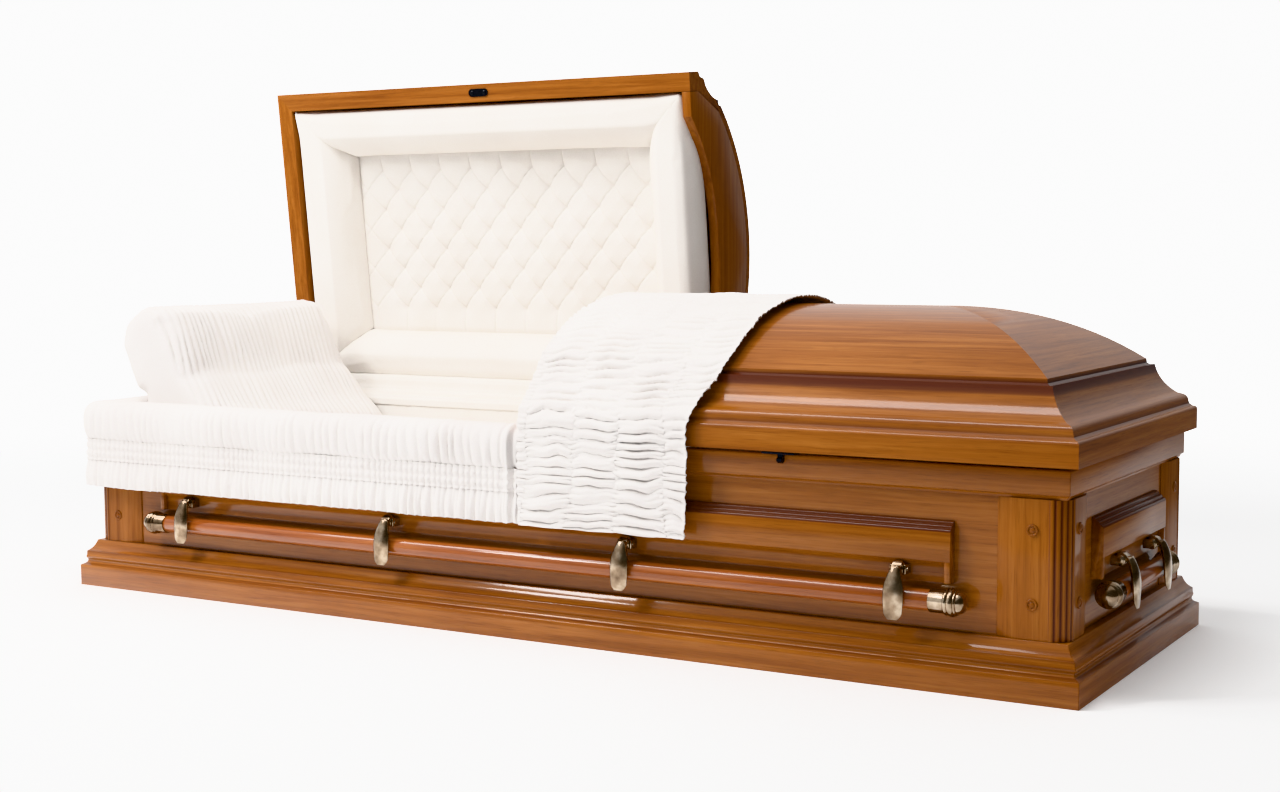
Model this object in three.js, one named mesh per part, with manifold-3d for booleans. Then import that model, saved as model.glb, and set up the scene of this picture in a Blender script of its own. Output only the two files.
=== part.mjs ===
// Wooden half-couch coffin: a moulded and panelled body on a plinth, a lid in two parts, four swing bars,
// a lined head lid that stands open, and the throws, pillow and mattress as plain soft solids.
// Millimetres. X runs from the head end (-) to the foot end (+), -Y is the front, Z is up from the floor.
// Mouldings are drawn as sections of (inset, height): inset is measured inwards from the plinth's outer face.
import * as THREE from 'three';
import { mergeVertices } from 'three/addons/utils/BufferGeometryUtils.js';
import Module from 'manifold-3d';

const wasm = await Module();
wasm.setup();

// Driving dimensions of the case
const LENGTH = 2100;
const WIDTH = 720;
const GAP = 0.3;
const MITRE_GAP = 0.25;
const PLINTH_TOP = 92.5;
const FLOOR = { under: 74, top: 92, edge: 48 };
const BEARER = { width: 60, places: [-700, 0, 700] };
const WALL = { face: 38, inside: 58, top: 309.7 };
const RAISED = { field: 18, low: 168, high: 266, halfFront: 838, halfEnd: 185 };
const POST = { face: 28, low: 92.8, radius: 31, flutes: 5, fluteDepth: 2.2, flat: 52, bevel: 31 };
const PLUG = { radius: 9, proud: 2.4, inset: 84, heights: [262, 147] };
const RIM = { face: 26, inside: 60, low: 310, top: 356 };

// Driving dimensions of the two lids, drawn closed
const LID = { edge: 8.5, low: 361, rail: 47, shoulder: 395, domeFoot: 489, domeInset: 82, crown: 589, skin: 12 };
const HEAD_LID_END = 43.5;
const FOOT_LID_END = 46.5;
const HEADER = { thick: 20, archHalf: 262, archRise: 86, clearance: 0.6 };
const HINGE = { y: 334, z: 358.5, radius: 2.2, leaf: 1.2, drop: 28 };
const OPEN_ANGLE = THREE.MathUtils.degToRad(83.7);
const STRIKE = { x: -476, inset: 27, half: 25, width: 17, low: 358.4, high: 360.7 };
const LATCH = { x: 545, half: 30, front: 9.5, back: 29, low: 356.4, high: 360.7 };

// Driving dimensions of the swing bars
const BAR = { inset: 12, z: 142.5, radius: 16.5, sides: 12, seat: 0.4, pivotInset: 15, pivotZ: 187 };
const LONG_BAR = { tipEnd: 869, arms: [-755, -255, 255, 755] };
const SHORT_BAR = { tipEnd: 194, arms: [-95, 95] };
const TIP = { length: 59, socket: 22, ferrule: 18.8, ring: 22.8 };

// Driving dimensions of the soft parts
const LINING = { outside: 60.6, inside: 78, low: 92.8, high: 352 };
const MATTRESS = { inset: 82, low: 92.8, top: 260 };
const PILLOW = { head: 84, side: 84, low: 260.5, overThrow: 390, ridge: 582 };
const EXTENDOVER = { footEnd: 40, backEnd: 288, corner: 44, hem: 209 };
const OVERLAY = { from: 47, hemTo: 385, ridgeTo: 430, hem: 208, thick: 10, back: 560 };
const ROLLS = { low: 364, high: 438, head: 175, header: 119, side: 163, flare: 62 };
const TUFTING = { low: 438.4, high: 458, lap: 6 };

const woodFinish = { color: 0xa5662a, roughness: 0.32, metalness: 0 };
const darkWoodFinish = { color: 0x8a4f24, roughness: 0.35, metalness: 0 };
const brassFinish = { color: 0xb09a78, roughness: 0.28, metalness: 1 };
const blackFinish = { color: 0x15161a, roughness: 0.4, metalness: 0.6 };
const crepeFinish = { color: 0xf0ecea, roughness: 0.9, metalness: 0 };
const creamFinish = { color: 0xf5f0ea, roughness: 0.85, metalness: 0 };

const SIDES = [
  { name: 'front', turn: 0, out: WIDTH / 2, run: LENGTH / 2, long: true },
  { name: 'foot', turn: Math.PI / 2, out: LENGTH / 2, run: WIDTH / 2, long: false },
  { name: 'back', turn: Math.PI, out: WIDTH / 2, run: LENGTH / 2, long: true },
  { name: 'head', turn: -Math.PI / 2, out: LENGTH / 2, run: WIDTH / 2, long: false },
];

// A path through corner points; a third value on a point swells the stretch that leads to it by that much,
// to the left of the way it runs, and a fourth says in how many steps
function path(corners) {
  const points = [];
  corners.forEach(([u, v, swell = 0, steps = 1], index) => {
    const [u0, v0] = corners[Math.max(index - 1, 0)];
    const long = Math.hypot(u - u0, v - v0) || 1;
    for (let step = 1; step <= steps; step += 1) {
      const t = step / steps;
      const rise = (swell * 4 * t * (1 - t)) / long;
      points.push([u0 + (u - u0) * t - (v - v0) * rise, v0 + (v - v0) * t + (u - u0) * rise]);
    }
  });
  return points;
}

function extrude(points, depth) {
  const shape = new THREE.Shape(points.map(([u, v]) => new THREE.Vector2(u, v)));
  return new THREE.ExtrudeGeometry(shape, { depth, bevelEnabled: false, steps: 1 });
}

// Solids for cutting and joining
function solidOf(geometry) {
  const bare = new THREE.BufferGeometry();
  bare.setAttribute('position', geometry.getAttribute('position'));
  if (geometry.index) bare.setIndex(geometry.index);
  const merged = mergeVertices(bare, 1e-3);
  return new wasm.Manifold(new wasm.Mesh({
    numProp: 3,
    vertProperties: new Float32Array(merged.getAttribute('position').array),
    triVerts: new Uint32Array(merged.index.array),
  }));
}

function geometryOf(solid) {
  const { vertProperties, triVerts } = solid.getMesh();
  const geometry = new THREE.BufferGeometry();
  geometry.setAttribute('position', new THREE.Float32BufferAttribute(vertProperties, 3));
  geometry.setIndex(Array.from(triVerts));
  geometry.computeVertexNormals();
  return geometry;
}

// An outline in (y, z) drawn out along X, one in (x, z) along Y, and one in (x, y) along Z
function alongX(points, from, to) {
  const turn = new THREE.Matrix4().makeBasis(
    new THREE.Vector3(0, 1, 0), new THREE.Vector3(0, 0, 1), new THREE.Vector3(1, 0, 0));
  return solidOf(extrude(points, to - from).applyMatrix4(turn).translate(from, 0, 0));
}

function alongY(points, from, to) {
  const turn = new THREE.Matrix4().makeBasis(
    new THREE.Vector3(1, 0, 0), new THREE.Vector3(0, 0, 1), new THREE.Vector3(0, -1, 0));
  return solidOf(extrude(points, to - from).applyMatrix4(turn).translate(0, to, 0));
}

function alongZ(points, from, to) {
  return solidOf(extrude(points, to - from).translate(0, 0, from));
}

function block([x0, y0, z0], [x1, y1, z1]) {
  const box = new THREE.BoxGeometry(x1 - x0, y1 - y0, z1 - z0);
  return solidOf(box.translate((x0 + x1) / 2, (y0 + y1) / 2, (z0 + z1) / 2));
}

function named(name, solid, finish) {
  const mesh = new THREE.Mesh(geometryOf(solid), new THREE.MeshStandardMaterial(finish));
  mesh.name = name;
  return mesh;
}

// A length of moulding on one side of the case, both ends cut to the mitre
function mitred(section, side) {
  const geometry = extrude(section, 1);
  const place = geometry.getAttribute('position');
  for (let i = 0; i < place.count; i += 1) {
    const inset = place.getX(i);
    const reach = (2 * place.getZ(i) - 1) * (side.run - inset - MITRE_GAP);
    place.setXYZ(i, reach, inset - side.out, place.getY(i));
  }
  return solidOf(geometry);
}

// Sections of the case, as (inset, height)
const plinthSection = path([
  [FLOOR.edge - GAP, 0], [0, 0], [0, 41.5], [7, 45], [10.5, 53, -1.5, 2], [9.2, 62, 1.5, 2],
  [9.5, 70], [22, 84, -3, 4], [25.5, PLINTH_TOP], [FLOOR.edge - GAP, PLINTH_TOP],
]);
const wallSection = [
  [WALL.face, PLINTH_TOP + GAP], [WALL.face, WALL.top], [WALL.inside, WALL.top], [WALL.inside, PLINTH_TOP + GAP]];
const rimSection = path([
  [RIM.inside, RIM.low], [32, RIM.low], [RIM.face, 317, -1.5, 3], [RIM.face, 352], [29, RIM.top, 1, 2],
  [RIM.inside, RIM.top],
]);

// The raised panel: three reeds step back along its top, then a flat field, then a hollow under the field
function raisedPanel(side) {
  const half = side.long ? RAISED.halfFront : RAISED.halfEnd;
  const behind = WALL.face - GAP;
  const section = path([
    [behind, RAISED.low], [29, RAISED.low], [30, 186, -1, 2], [RAISED.field + 2, 201, -3, 3],
    [RAISED.field, 203], [RAISED.field, 249], [24, 254.6, 1.6, 3], [30, 260.2, 1.6, 3],
    [36, RAISED.high, 1.6, 3], [behind, RAISED.high],
  ]);
  return alongX(section.map(([inset, z]) => [inset - side.out, z]), -half, half);
}

// The corner post wraps the corner: a bevelled strip, a flat and a fluted quarter round, with round plugs
function cornerPost(signX, signY) {
  const { face, radius, flat, bevel, flutes, fluteDepth } = POST;
  const turnIn = face + radius;
  const flatEnd = turnIn + flat;
  const wingEnd = flatEnd + bevel;
  const back = WALL.face - GAP;
  const round = [[turnIn, face]];
  for (let k = 1; k <= flutes; k += 1) {
    const angle = (k / flutes) * Math.PI / 2;
    round.push([turnIn - radius * Math.sin(angle), turnIn - radius * Math.cos(angle), fluteDepth, 4]);
  }
  const half = [[wingEnd, back], [wingEnd, face + 8], [flatEnd, face]];
  const plan = [...half, ...path(round), ...half.map(([u, v]) => [v, u]).reverse(), [back, back]];
  const corner = (u, v) => [signX * (LENGTH / 2 - u), signY * (WIDTH / 2 - v)];
  let solid = alongZ(plan.map(([u, v]) => corner(u, v)), POST.low, WALL.top);
  for (const z of PLUG.heights) {
    for (const onEnd of [false, true]) {
      const depth = PLUG.proud + 3;
      const middle = face + 3 - depth / 2;
      const button = new THREE.CylinderGeometry(PLUG.radius - 1.5, PLUG.radius, depth, 12);
      button.rotateZ(onEnd ? -signX * Math.PI / 2 : (1 - signY) * Math.PI / 2);
      const [x, y] = onEnd ? corner(middle, PLUG.inset) : corner(PLUG.inset, middle);
      solid = solid.add(solidOf(button.translate(x, y, z)));
    }
  }
  return solid;
}

// The floor lies in the plinth's rebate on three bearers that reach the ground
function floorBoard() {
  const x = LENGTH / 2 - FLOOR.edge;
  const y = WIDTH / 2 - FLOOR.edge;
  let solid = block([-x, -y, FLOOR.under], [x, y, FLOOR.top]);
  for (const place of BEARER.places) {
    const half = BEARER.width / 2;
    solid = solid.add(block([place - half, -y, 0], [place + half, y, FLOOR.under + 1]));
  }
  return solid;
}

// Lid sections: the crown moulding, its step, and the dome that is hipped down to the end as well
const lidOutside = path([
  [LID.edge, LID.low], [LID.edge, 397], [15, 402.5, 1.6, 3], [20, 407], [21.4, 412.5], [31, 425, 2.6, 3],
  [37, 427], [70, 479, -6, 5], [76, 478.5], [81, 482], [LID.domeInset, LID.domeFoot],
  [WIDTH / 2, LID.crown, 25.7, 9],
]);
function lidInside(clearance, low) {
  return path([
    [LID.rail + clearance, low], [LID.rail + clearance, LID.shoulder - clearance / 4],
    [94 + clearance * 0.7, 481.4 - clearance], [WIDTH / 2, LID.crown - LID.skin - clearance, 24.8, 8],
  ]);
}

// Both halves of a section across the coffin, and one end of it along the coffin
function across(half) {
  const front = half.map(([inset, z]) => [inset - WIDTH / 2, z]);
  return [...front, ...front.slice(0, -1).map(([y, z]) => [-y, z]).reverse()];
}
function endwise(half, end, cut, low) {
  const top = half[half.length - 1][1];
  return [...half.map(([inset, z]) => [end * (LENGTH / 2 - inset), z]), [cut, top], [cut, low]];
}
function hipped(half, end, cut, low) {
  const [from, to] = [Math.min(cut, end * LENGTH / 2), Math.max(cut, end * LENGTH / 2)];
  return alongX(across(half), from, to).intersect(alongY(endwise(half, end, cut, low), -WIDTH / 2, WIDTH / 2));
}

function lidCap(end, cut) {
  const low = LID.low - 20;
  const hollow = hipped(lidInside(0, low), end, cut - end * 20, low);
  return hipped(lidOutside, end, cut, LID.low).subtract(hollow);
}

// The header closes a lid's cut end, with an arch cut up into it from below
function lidHeader(end, cut) {
  const foot = WIDTH / 2 - HEADER.archHalf;
  const side = lidInside(HEADER.clearance, LID.low);
  const bow = HEADER.archRise * 0.315;
  const arch = path([[foot, LID.low], [WIDTH / 2, LID.low + HEADER.archRise, bow, 6]]);
  const outline = [...across(side), ...across(arch).reverse()];
  return alongX(outline, Math.min(cut, cut + end * HEADER.thick), Math.max(cut, cut + end * HEADER.thick));
}

// The lining of the head lid: a ring of four stuffed rolls round a tufted panel
function lidRolls() {
  const inner = HEAD_LID_END - HEADER.thick - HEADER.clearance;
  const [low, high] = [ROLLS.low, ROLLS.high];
  const outside = [[LID.rail + 1.6, low], [LID.rail + 1.6, 394], [74.5, high], [WIDTH / 2, high]];
  const sideways = alongX(across([
    [ROLLS.side - ROLLS.flare, low - 1], [ROLLS.side, high + 1], [WIDTH / 2, high + 1],
  ]), -LENGTH / 2, inner);
  const head = -LENGTH / 2 + ROLLS.head;
  const lengthways = alongY([
    [head - ROLLS.flare, low - 1], [head, high + 1], [inner - ROLLS.header, high + 1],
    [inner - ROLLS.header + ROLLS.flare, low - 1],
  ], -WIDTH / 2, WIDTH / 2);
  return hipped(outside, -1, inner, low).subtract(sideways.intersect(lengthways));
}

function lidTufting() {
  const head = -LENGTH / 2 + ROLLS.head - TUFTING.lap;
  const header = HEAD_LID_END - HEADER.thick - ROLLS.header + TUFTING.lap;
  const y = WIDTH / 2 - ROLLS.side + TUFTING.lap;
  return block([head, -y, TUFTING.low], [header, y, TUFTING.high]);
}

// Fittings of the lids
function hinge(from, to) {
  const barrel = new THREE.CylinderGeometry(HINGE.radius, HINGE.radius, to - from, 12);
  barrel.rotateZ(Math.PI / 2).translate((from + to) / 2, HINGE.y, HINGE.z);
  const leafFront = WIDTH / 2 - RIM.face + GAP;
  const leaf = block([from + 1, leafFront, HINGE.z - HINGE.drop], [to - 1, leafFront + HINGE.leaf, HINGE.z]);
  return solidOf(barrel).add(leaf);
}

function strikePlate() {
  const y = STRIKE.inset - WIDTH / 2;
  const r = STRIKE.width / 2;
  const ends = [-1, 1].map(s => new THREE.CylinderGeometry(r, r, STRIKE.high - STRIKE.low, 12)
    .rotateX(Math.PI / 2).translate(STRIKE.x + s * (STRIKE.half - r), y, (STRIKE.low + STRIKE.high) / 2));
  const middle = block(
    [STRIKE.x - STRIKE.half + r, y - r, STRIKE.low], [STRIKE.x + STRIKE.half - r, y + r, STRIKE.high]);
  return ends.reduce((sum, end) => sum.add(solidOf(end)), middle);
}

function latch() {
  const y = inset => inset - WIDTH / 2;
  const plate = block([LATCH.x - LATCH.half, y(LATCH.front), LATCH.low], [LATCH.x + LATCH.half, y(LATCH.back), LATCH.high]);
  const hook = alongX([
    [y(24.5), LATCH.low + 1], [y(24.5), 344], [y(20), 341], [y(14), 344], [y(15), 349], [y(18.5), 351],
    [y(19), LATCH.low + 1],
  ], LATCH.x - 5, LATCH.x + 5);
  return plate.add(hook);
}

// A swing bar: a turned pole, held in the saddles of cast arms, with a cast tip on each end. An arm hangs
// from a round knuckle on its pivot, runs down over the front of the pole and ends in a thin tail.
function barArm(side, x) {
  const { pivotInset, pivotZ } = BAR;
  const knuckle = 13;
  const section = path([
    [pivotInset + 9, pivotZ - 9], [pivotInset + knuckle, pivotZ, -1, 2], [pivotInset, pivotZ + knuckle, -5, 4],
    [pivotInset - 11.5, pivotZ + 6, -3, 3], [-4, 170, -0.8, 2], [-9, 148, -0.8, 2], [-10, 128], [-9, 111],
    [3, 110], [8, 124], [BAR.inset + 1, BAR.z], [16, 160], [17, pivotZ - 13],
  ].map(([inset, z, swell = 0, steps = 1]) => [inset, z, -swell, steps]));
  const halfWidth = [[4, 109], [11, 119], [15, 135], [14.5, 150], [12, 168], [10, 184], [8, 202]];
  const face = [...halfWidth.map(([w, z]) => [x + w, z]), ...halfWidth.map(([w, z]) => [x - w, z]).reverse()];
  const seat = new THREE.CylinderGeometry(BAR.radius + BAR.seat, BAR.radius + BAR.seat, 60, BAR.sides);
  seat.rotateZ(Math.PI / 2).translate(x, BAR.inset - side.out, BAR.z);
  const solid = alongX(section.map(([inset, z]) => [inset - side.out, z]), x - 20, x + 20);
  return solid.intersect(alongY(face, -side.out - 40, -side.out + 60)).subtract(solidOf(seat));
}

function barTip(side, end, tipEnd) {
  const profile = [
    [0, TIP.socket], [BAR.radius + BAR.seat, TIP.socket], [BAR.radius + BAR.seat, 0], [TIP.ferrule, 0],
    [TIP.ferrule, 26], [TIP.ring, 28], [TIP.ring, 38], [TIP.ferrule, 41], [15, 52], [7, 57.5], [0, TIP.length]];
  const lathe = new THREE.LatheGeometry(profile.map(([r, s]) => new THREE.Vector2(r, s)), BAR.sides);
  lathe.rotateY(Math.PI / 2).rotateZ(-end * Math.PI / 2);
  return solidOf(lathe.translate(end * (tipEnd - TIP.length), BAR.inset - side.out, BAR.z));
}

function barPole(side, tipEnd) {
  const half = tipEnd - TIP.length + TIP.socket - 0.4;
  const pole = new THREE.CylinderGeometry(BAR.radius, BAR.radius, 2 * half, BAR.sides);
  return solidOf(pole.rotateZ(Math.PI / 2).translate(0, BAR.inset - side.out, BAR.z));
}

function swingBar(side) {
  const { tipEnd, arms } = side.long ? LONG_BAR : SHORT_BAR;
  const group = new THREE.Group();
  group.add(named(`${side.name}_bar_pole`, barPole(side, tipEnd), darkWoodFinish));
  [-1, 1].forEach((end, index) => {
    group.add(named(`${side.name}_bar_tip_${index + 1}`, barTip(side, end, tipEnd), brassFinish));
  });
  arms.forEach((x, index) => {
    group.add(named(`${side.name}_bar_arm_${index + 1}`, barArm(side, x), brassFinish));
  });
  return group;
}

// Soft parts
function frameRing(outside, inside, low, high) {
  const corner = inset => [LENGTH / 2 - inset, WIDTH / 2 - inset];
  const [x0, y0] = corner(outside);
  const [x1, y1] = corner(inside);
  return block([-x0, -y0, low], [x0, y0, high]).subtract(block([-x1, -y1, low - 1], [x1, y1, high + 1]));
}

function mattress() {
  const x = LENGTH / 2 - MATTRESS.inset;
  const y = WIDTH / 2 - MATTRESS.inset;
  return block([-x, -y, MATTRESS.low], [x, y, MATTRESS.top]);
}

// The pillow leans back on the throw of the head end: its face is steep above and flatter below, and its back
// hangs over the rim
function pillow() {
  const head = -LENGTH / 2 + PILLOW.head;
  const y = WIDTH / 2 - PILLOW.side;
  const outline = path([
    [0, PILLOW.low], [0, PILLOW.overThrow], [-22, PILLOW.overThrow + 4], [-39, 440, 3, 2], [-62, 500, 3, 2],
    [-46, 548, 6, 3], [6, PILLOW.ridge, 10, 3], [41, 570, 4, 2], [74, 510, 3, 2], [111, 425, 4, 2],
    [191, 345, 6, 2], [268, 292, 4, 2], [270, PILLOW.low],
  ]);
  return alongY(outline.map(([x, z]) => [head + x, z]), -y, y);
}

// The throw from the body over the rim, along the front and round the head end
function extendover() {
  const { footEnd, backEnd, corner, hem } = EXTENDOVER;
  const outside = path([
    [4, hem], [-1, 232, 1, 2], [6, 265, 1, 2], [5, 300, -1, 2], [0, 335, 1, 2], [16, 379, 7, 4], [58, 382, 1, 2],
    [LINING.inside, 366, 3, 2], [WIDTH / 2, 366],
  ]);
  const inside = [
    [RAISED.field - 1, hem - 5], [RAISED.field - 1, 268], [RIM.face - 0.4, 290], [RIM.face - 0.4, RIM.top + 0.4],
    [WIDTH / 2, RIM.top + 0.4]];
  const [x, y] = [-LENGTH / 2 - 3, -WIDTH / 2 - 3];
  const plan = new THREE.Shape();
  plan.moveTo(footEnd, y);
  plan.lineTo(footEnd, LINING.inside - WIDTH / 2);
  plan.lineTo(LINING.inside - LENGTH / 2, LINING.inside - WIDTH / 2);
  plan.lineTo(LINING.inside - LENGTH / 2, backEnd);
  plan.lineTo(x, backEnd);
  plan.lineTo(x, y + corner);
  plan.absarc(x + corner, y + corner, corner, Math.PI, Math.PI * 1.5, false);
  const cut = alongZ(plan.extractPoints(3).shape.map(point => [point.x, point.y]), hem - 2, 400);
  return hipped(outside, -1, footEnd + 5, hem).subtract(hipped(inside, -1, footEnd + 9, hem - 5)).intersect(cut);
}

// The throw over the foot lid: it hangs at the front, bridges the mouldings and lies on the dome
function overlay() {
  const { thick } = OVERLAY;
  const drape = shift => path([
    [LID.edge - 1.2 - shift, OVERLAY.hem], [LID.edge - 1.2 - shift, 402 + shift * 0.5],
    [80 - shift * 0.6, 491.5 + shift * 0.8], [WIDTH / 2, LID.crown + 1.2 + shift, 25.7, 7],
    [OVERLAY.back, LID.crown - 46 + shift, 12, 5],
  ]);
  const outline = [...drape(0), ...drape(thick).reverse()].map(([inset, z]) => [inset - WIDTH / 2, z]);
  const cut = [[OVERLAY.from, 100], [OVERLAY.hemTo, 100], [OVERLAY.hemTo, OVERLAY.hem],
    [OVERLAY.ridgeTo, LID.crown + 30], [OVERLAY.from, LID.crown + 30]];
  return alongX(outline, OVERLAY.from, OVERLAY.ridgeTo + 10).intersect(alongY(cut, -WIDTH / 2 - 30, WIDTH / 2));
}

// The whole coffin
const coffin = new THREE.Group();

for (const side of SIDES) {
  const group = new THREE.Group();
  group.rotation.z = side.turn;
  group.add(
    named(`plinth_${side.name}`, mitred(plinthSection, side), woodFinish),
    named(`wall_${side.name}`, mitred(wallSection, side), woodFinish),
    named(`raised_panel_${side.name}`, raisedPanel(side), woodFinish),
    named(`rim_${side.name}`, mitred(rimSection, side), woodFinish),
    swingBar(side),
  );
  coffin.add(group);
}

for (const [endName, signX] of [['head', -1], ['foot', 1]]) {
  for (const [faceName, signY] of [['front', -1], ['back', 1]]) {
    coffin.add(named(`corner_post_${endName}_${faceName}`, cornerPost(signX, signY), woodFinish));
  }
}

coffin.add(
  named('floor_board', floorBoard(), woodFinish),
  named('body_lining', frameRing(LINING.outside, LINING.inside, LINING.low, LINING.high), creamFinish),
  named('mattress', mattress(), creamFinish),
  named('pillow', pillow(), crepeFinish),
  named('extendover', extendover(), crepeFinish),
  named('hinge_head', hinge(-960, 20), brassFinish),
  named('hinge_foot', hinge(70, 960), brassFinish),
  named('foot_lid_cap', lidCap(1, FOOT_LID_END), woodFinish),
  named('foot_lid_header', lidHeader(1, FOOT_LID_END), woodFinish),
  named('foot_lid_overlay', overlay(), crepeFinish),
  named('foot_lid_latch', latch(), blackFinish),
);

// The head lid is drawn closed and turned open about the hinge line
const headLid = new THREE.Group();
headLid.add(
  named('head_lid_cap', lidCap(-1, HEAD_LID_END), woodFinish),
  named('head_lid_header', lidHeader(-1, HEAD_LID_END), woodFinish),
  named('head_lid_rolls', lidRolls(), creamFinish),
  named('head_lid_tufting', lidTufting(), creamFinish),
  named('head_lid_strike', strikePlate(), blackFinish),
);
headLid.position.set(0, -HINGE.y, -HINGE.z);
const swung = new THREE.Group();
swung.position.set(0, HINGE.y, HINGE.z);
swung.rotation.x = -OPEN_ANGLE;
swung.add(headLid);
coffin.add(swung);

export default coffin;
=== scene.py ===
"""The looks of a wooden half-couch coffin: lacquered cherry, cast brass, crepe throws and a tufted lining.

Metres. X runs from the head end (-) to the foot end (+), -Y is the front, Z is up from the floor.
Mouldings are drawn as sections of (inset, height): inset is measured inwards from the plinth's outer face.
"""
import bisect
import math

import bmesh
import bpy
from mathutils import Matrix, Vector, noise


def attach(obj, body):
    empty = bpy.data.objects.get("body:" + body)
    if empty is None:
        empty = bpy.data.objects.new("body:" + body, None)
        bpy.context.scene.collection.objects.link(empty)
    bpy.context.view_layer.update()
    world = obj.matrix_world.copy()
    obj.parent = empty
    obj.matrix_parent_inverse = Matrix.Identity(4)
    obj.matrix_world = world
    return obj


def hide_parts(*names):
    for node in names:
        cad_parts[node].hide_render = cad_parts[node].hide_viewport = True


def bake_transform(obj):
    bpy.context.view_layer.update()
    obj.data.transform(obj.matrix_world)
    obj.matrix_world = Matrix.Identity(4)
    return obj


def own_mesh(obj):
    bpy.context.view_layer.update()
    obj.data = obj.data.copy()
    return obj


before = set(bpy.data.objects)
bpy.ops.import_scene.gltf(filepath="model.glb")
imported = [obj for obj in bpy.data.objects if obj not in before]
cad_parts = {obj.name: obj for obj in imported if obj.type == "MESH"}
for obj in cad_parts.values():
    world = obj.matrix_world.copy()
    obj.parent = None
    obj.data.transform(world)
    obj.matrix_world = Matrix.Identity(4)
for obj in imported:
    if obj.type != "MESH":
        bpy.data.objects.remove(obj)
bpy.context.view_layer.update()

# Driving dimensions of the case, as the solids have them
LENGTH = 2.1
WIDTH = 0.72
PLINTH_TOP = 0.0925
FLOOR_EDGE = 0.048
WALL_FACE = 0.038
WALL_TOP = 0.3097
RAISED = {"field": 0.018, "low": 0.168, "high": 0.266, "long": 0.838, "short": 0.185}
POST = {"face": 0.028, "low": 0.0928, "radius": 0.031, "reeds": 5, "flat": 0.052, "bevel": 0.031}
PLUG = {"inset": 0.084, "heights": (0.262, 0.147)}
RIM = {"face": 0.026, "inside": 0.06, "low": 0.310, "top": 0.356}
# What is left free where one piece backs on to another
GAP = 0.0003

# The lids, drawn closed, and their hinge line. The inside of the dome starts at DOME_FOOT.
LID = {"edge": 0.0085, "low": 0.361, "rail": 0.047, "shoulder": 0.395, "crown": 0.589, "skin": 0.012}
DOME_FOOT = (0.094, 0.4814)
HEAD_LID_END = 0.0435
FOOT_LID_END = 0.0465
HEADER = {"thick": 0.020, "arch_half": 0.262, "arch_rise": 0.086, "clearance": 0.0006}
HINGE = {"y": 0.334, "z": 0.3585, "radius": 0.0022, "leaf": 0.0012, "drop": 0.028, "pitch": 0.038}
OPEN_ANGLE = math.radians(83.7)
STRIKE = {"x": -0.476, "inset": 0.027, "half": 0.025, "width": 0.017, "low": 0.3584, "high": 0.3607}
LATCH = {"x": 0.545, "half": 0.030, "front": 0.0095, "back": 0.029, "low": 0.3564, "high": 0.3607}

# The swing bars
BAR = {"inset": 0.012, "z": 0.1425, "radius": 0.0165, "pivot_inset": 0.015, "pivot_z": 0.187}
LONG_BAR = {"tip_end": 0.869, "arms": (-0.755, -0.255, 0.255, 0.755)}
SHORT_BAR = {"tip_end": 0.194, "arms": (-0.095, 0.095)}
TIP = {"length": 0.059, "socket": 0.022}

# The soft parts
LINING = {"outside": 0.0606, "inside": 0.078, "low": 0.0928, "high": 0.352}
MATTRESS = {"inset": 0.082, "low": 0.0928, "top": 0.260}
PILLOW = {"head": 0.084, "side": 0.084, "low": 0.2605}
THROW = {"foot_end": 0.040, "back_end": 0.288, "corner": 0.041, "band_low": 0.265, "hem": 0.207}
OVERLAY = {"start": 0.047, "hem_to": 0.385, "ridge_to": 0.430, "hem": 0.208, "back": 0.560}
ROLLS = {"low": 0.3622, "high": 0.438, "head": 0.175, "header": 0.119, "side": 0.163, "flare": 0.062,
         "hinge_side": 0.059}
TUFTING = {"low": 0.4384, "lap": 0.016}

HALF_LENGTH = LENGTH / 2
HALF_WIDTH = WIDTH / 2
SIDES = (
    {"name": "front", "turn": 0.0, "out": HALF_WIDTH, "run": HALF_LENGTH, "long": True},
    {"name": "foot", "turn": math.pi / 2, "out": HALF_LENGTH, "run": HALF_WIDTH, "long": False},
    {"name": "back", "turn": math.pi, "out": HALF_WIDTH, "run": HALF_LENGTH, "long": True},
    {"name": "head", "turn": -math.pi / 2, "out": HALF_LENGTH, "run": HALF_WIDTH, "long": False},
)


# Nodes and colours

def linear(code, alpha=1.0):
    """An sRGB hex colour as linear values."""
    parts = [int(code[i:i + 2], 16) / 255 for i in (1, 3, 5)]
    return tuple(c / 12.92 if c <= 0.04045 else ((c + 0.055) / 1.055) ** 2.4 for c in parts) + (alpha,)


def add(tree, kind, settings=None, values=None, links=None):
    """One node, with its settings, its own socket values and what is linked into it."""
    node = tree.nodes.new(kind)
    for name, value in (settings or {}).items():
        setattr(node, name, value)
    for name, value in (values or {}).items():
        node.inputs[name].default_value = value
    for name, source in (links or {}).items():
        tree.links.new(source, node.inputs[name])
    return node


def ramp(tree, source, stops):
    """A colour ramp over a factor; stops are (place, hex colour)."""
    node = add(tree, "ShaderNodeValToRGB", links={"Fac": source})
    elements = node.color_ramp.elements
    while len(elements) < len(stops):
        elements.new(0.5)
    for element, (place, code) in zip(elements, stops):
        element.position = place
        element.color = linear(code)
    return node.outputs["Color"]


def blank(name):
    """A material with only its output, and the tree to fill."""
    material = bpy.data.materials.new(name)
    material.use_nodes = True
    tree = material.node_tree
    tree.nodes.clear()
    return material, tree


def surface(tree, values, links):
    """The principled shader and the output that ends a tree."""
    shader = add(tree, "ShaderNodeBsdfPrincipled", values=values, links=links)
    add(tree, "ShaderNodeOutputMaterial", links={"Surface": shader.outputs["BSDF"]})


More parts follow.
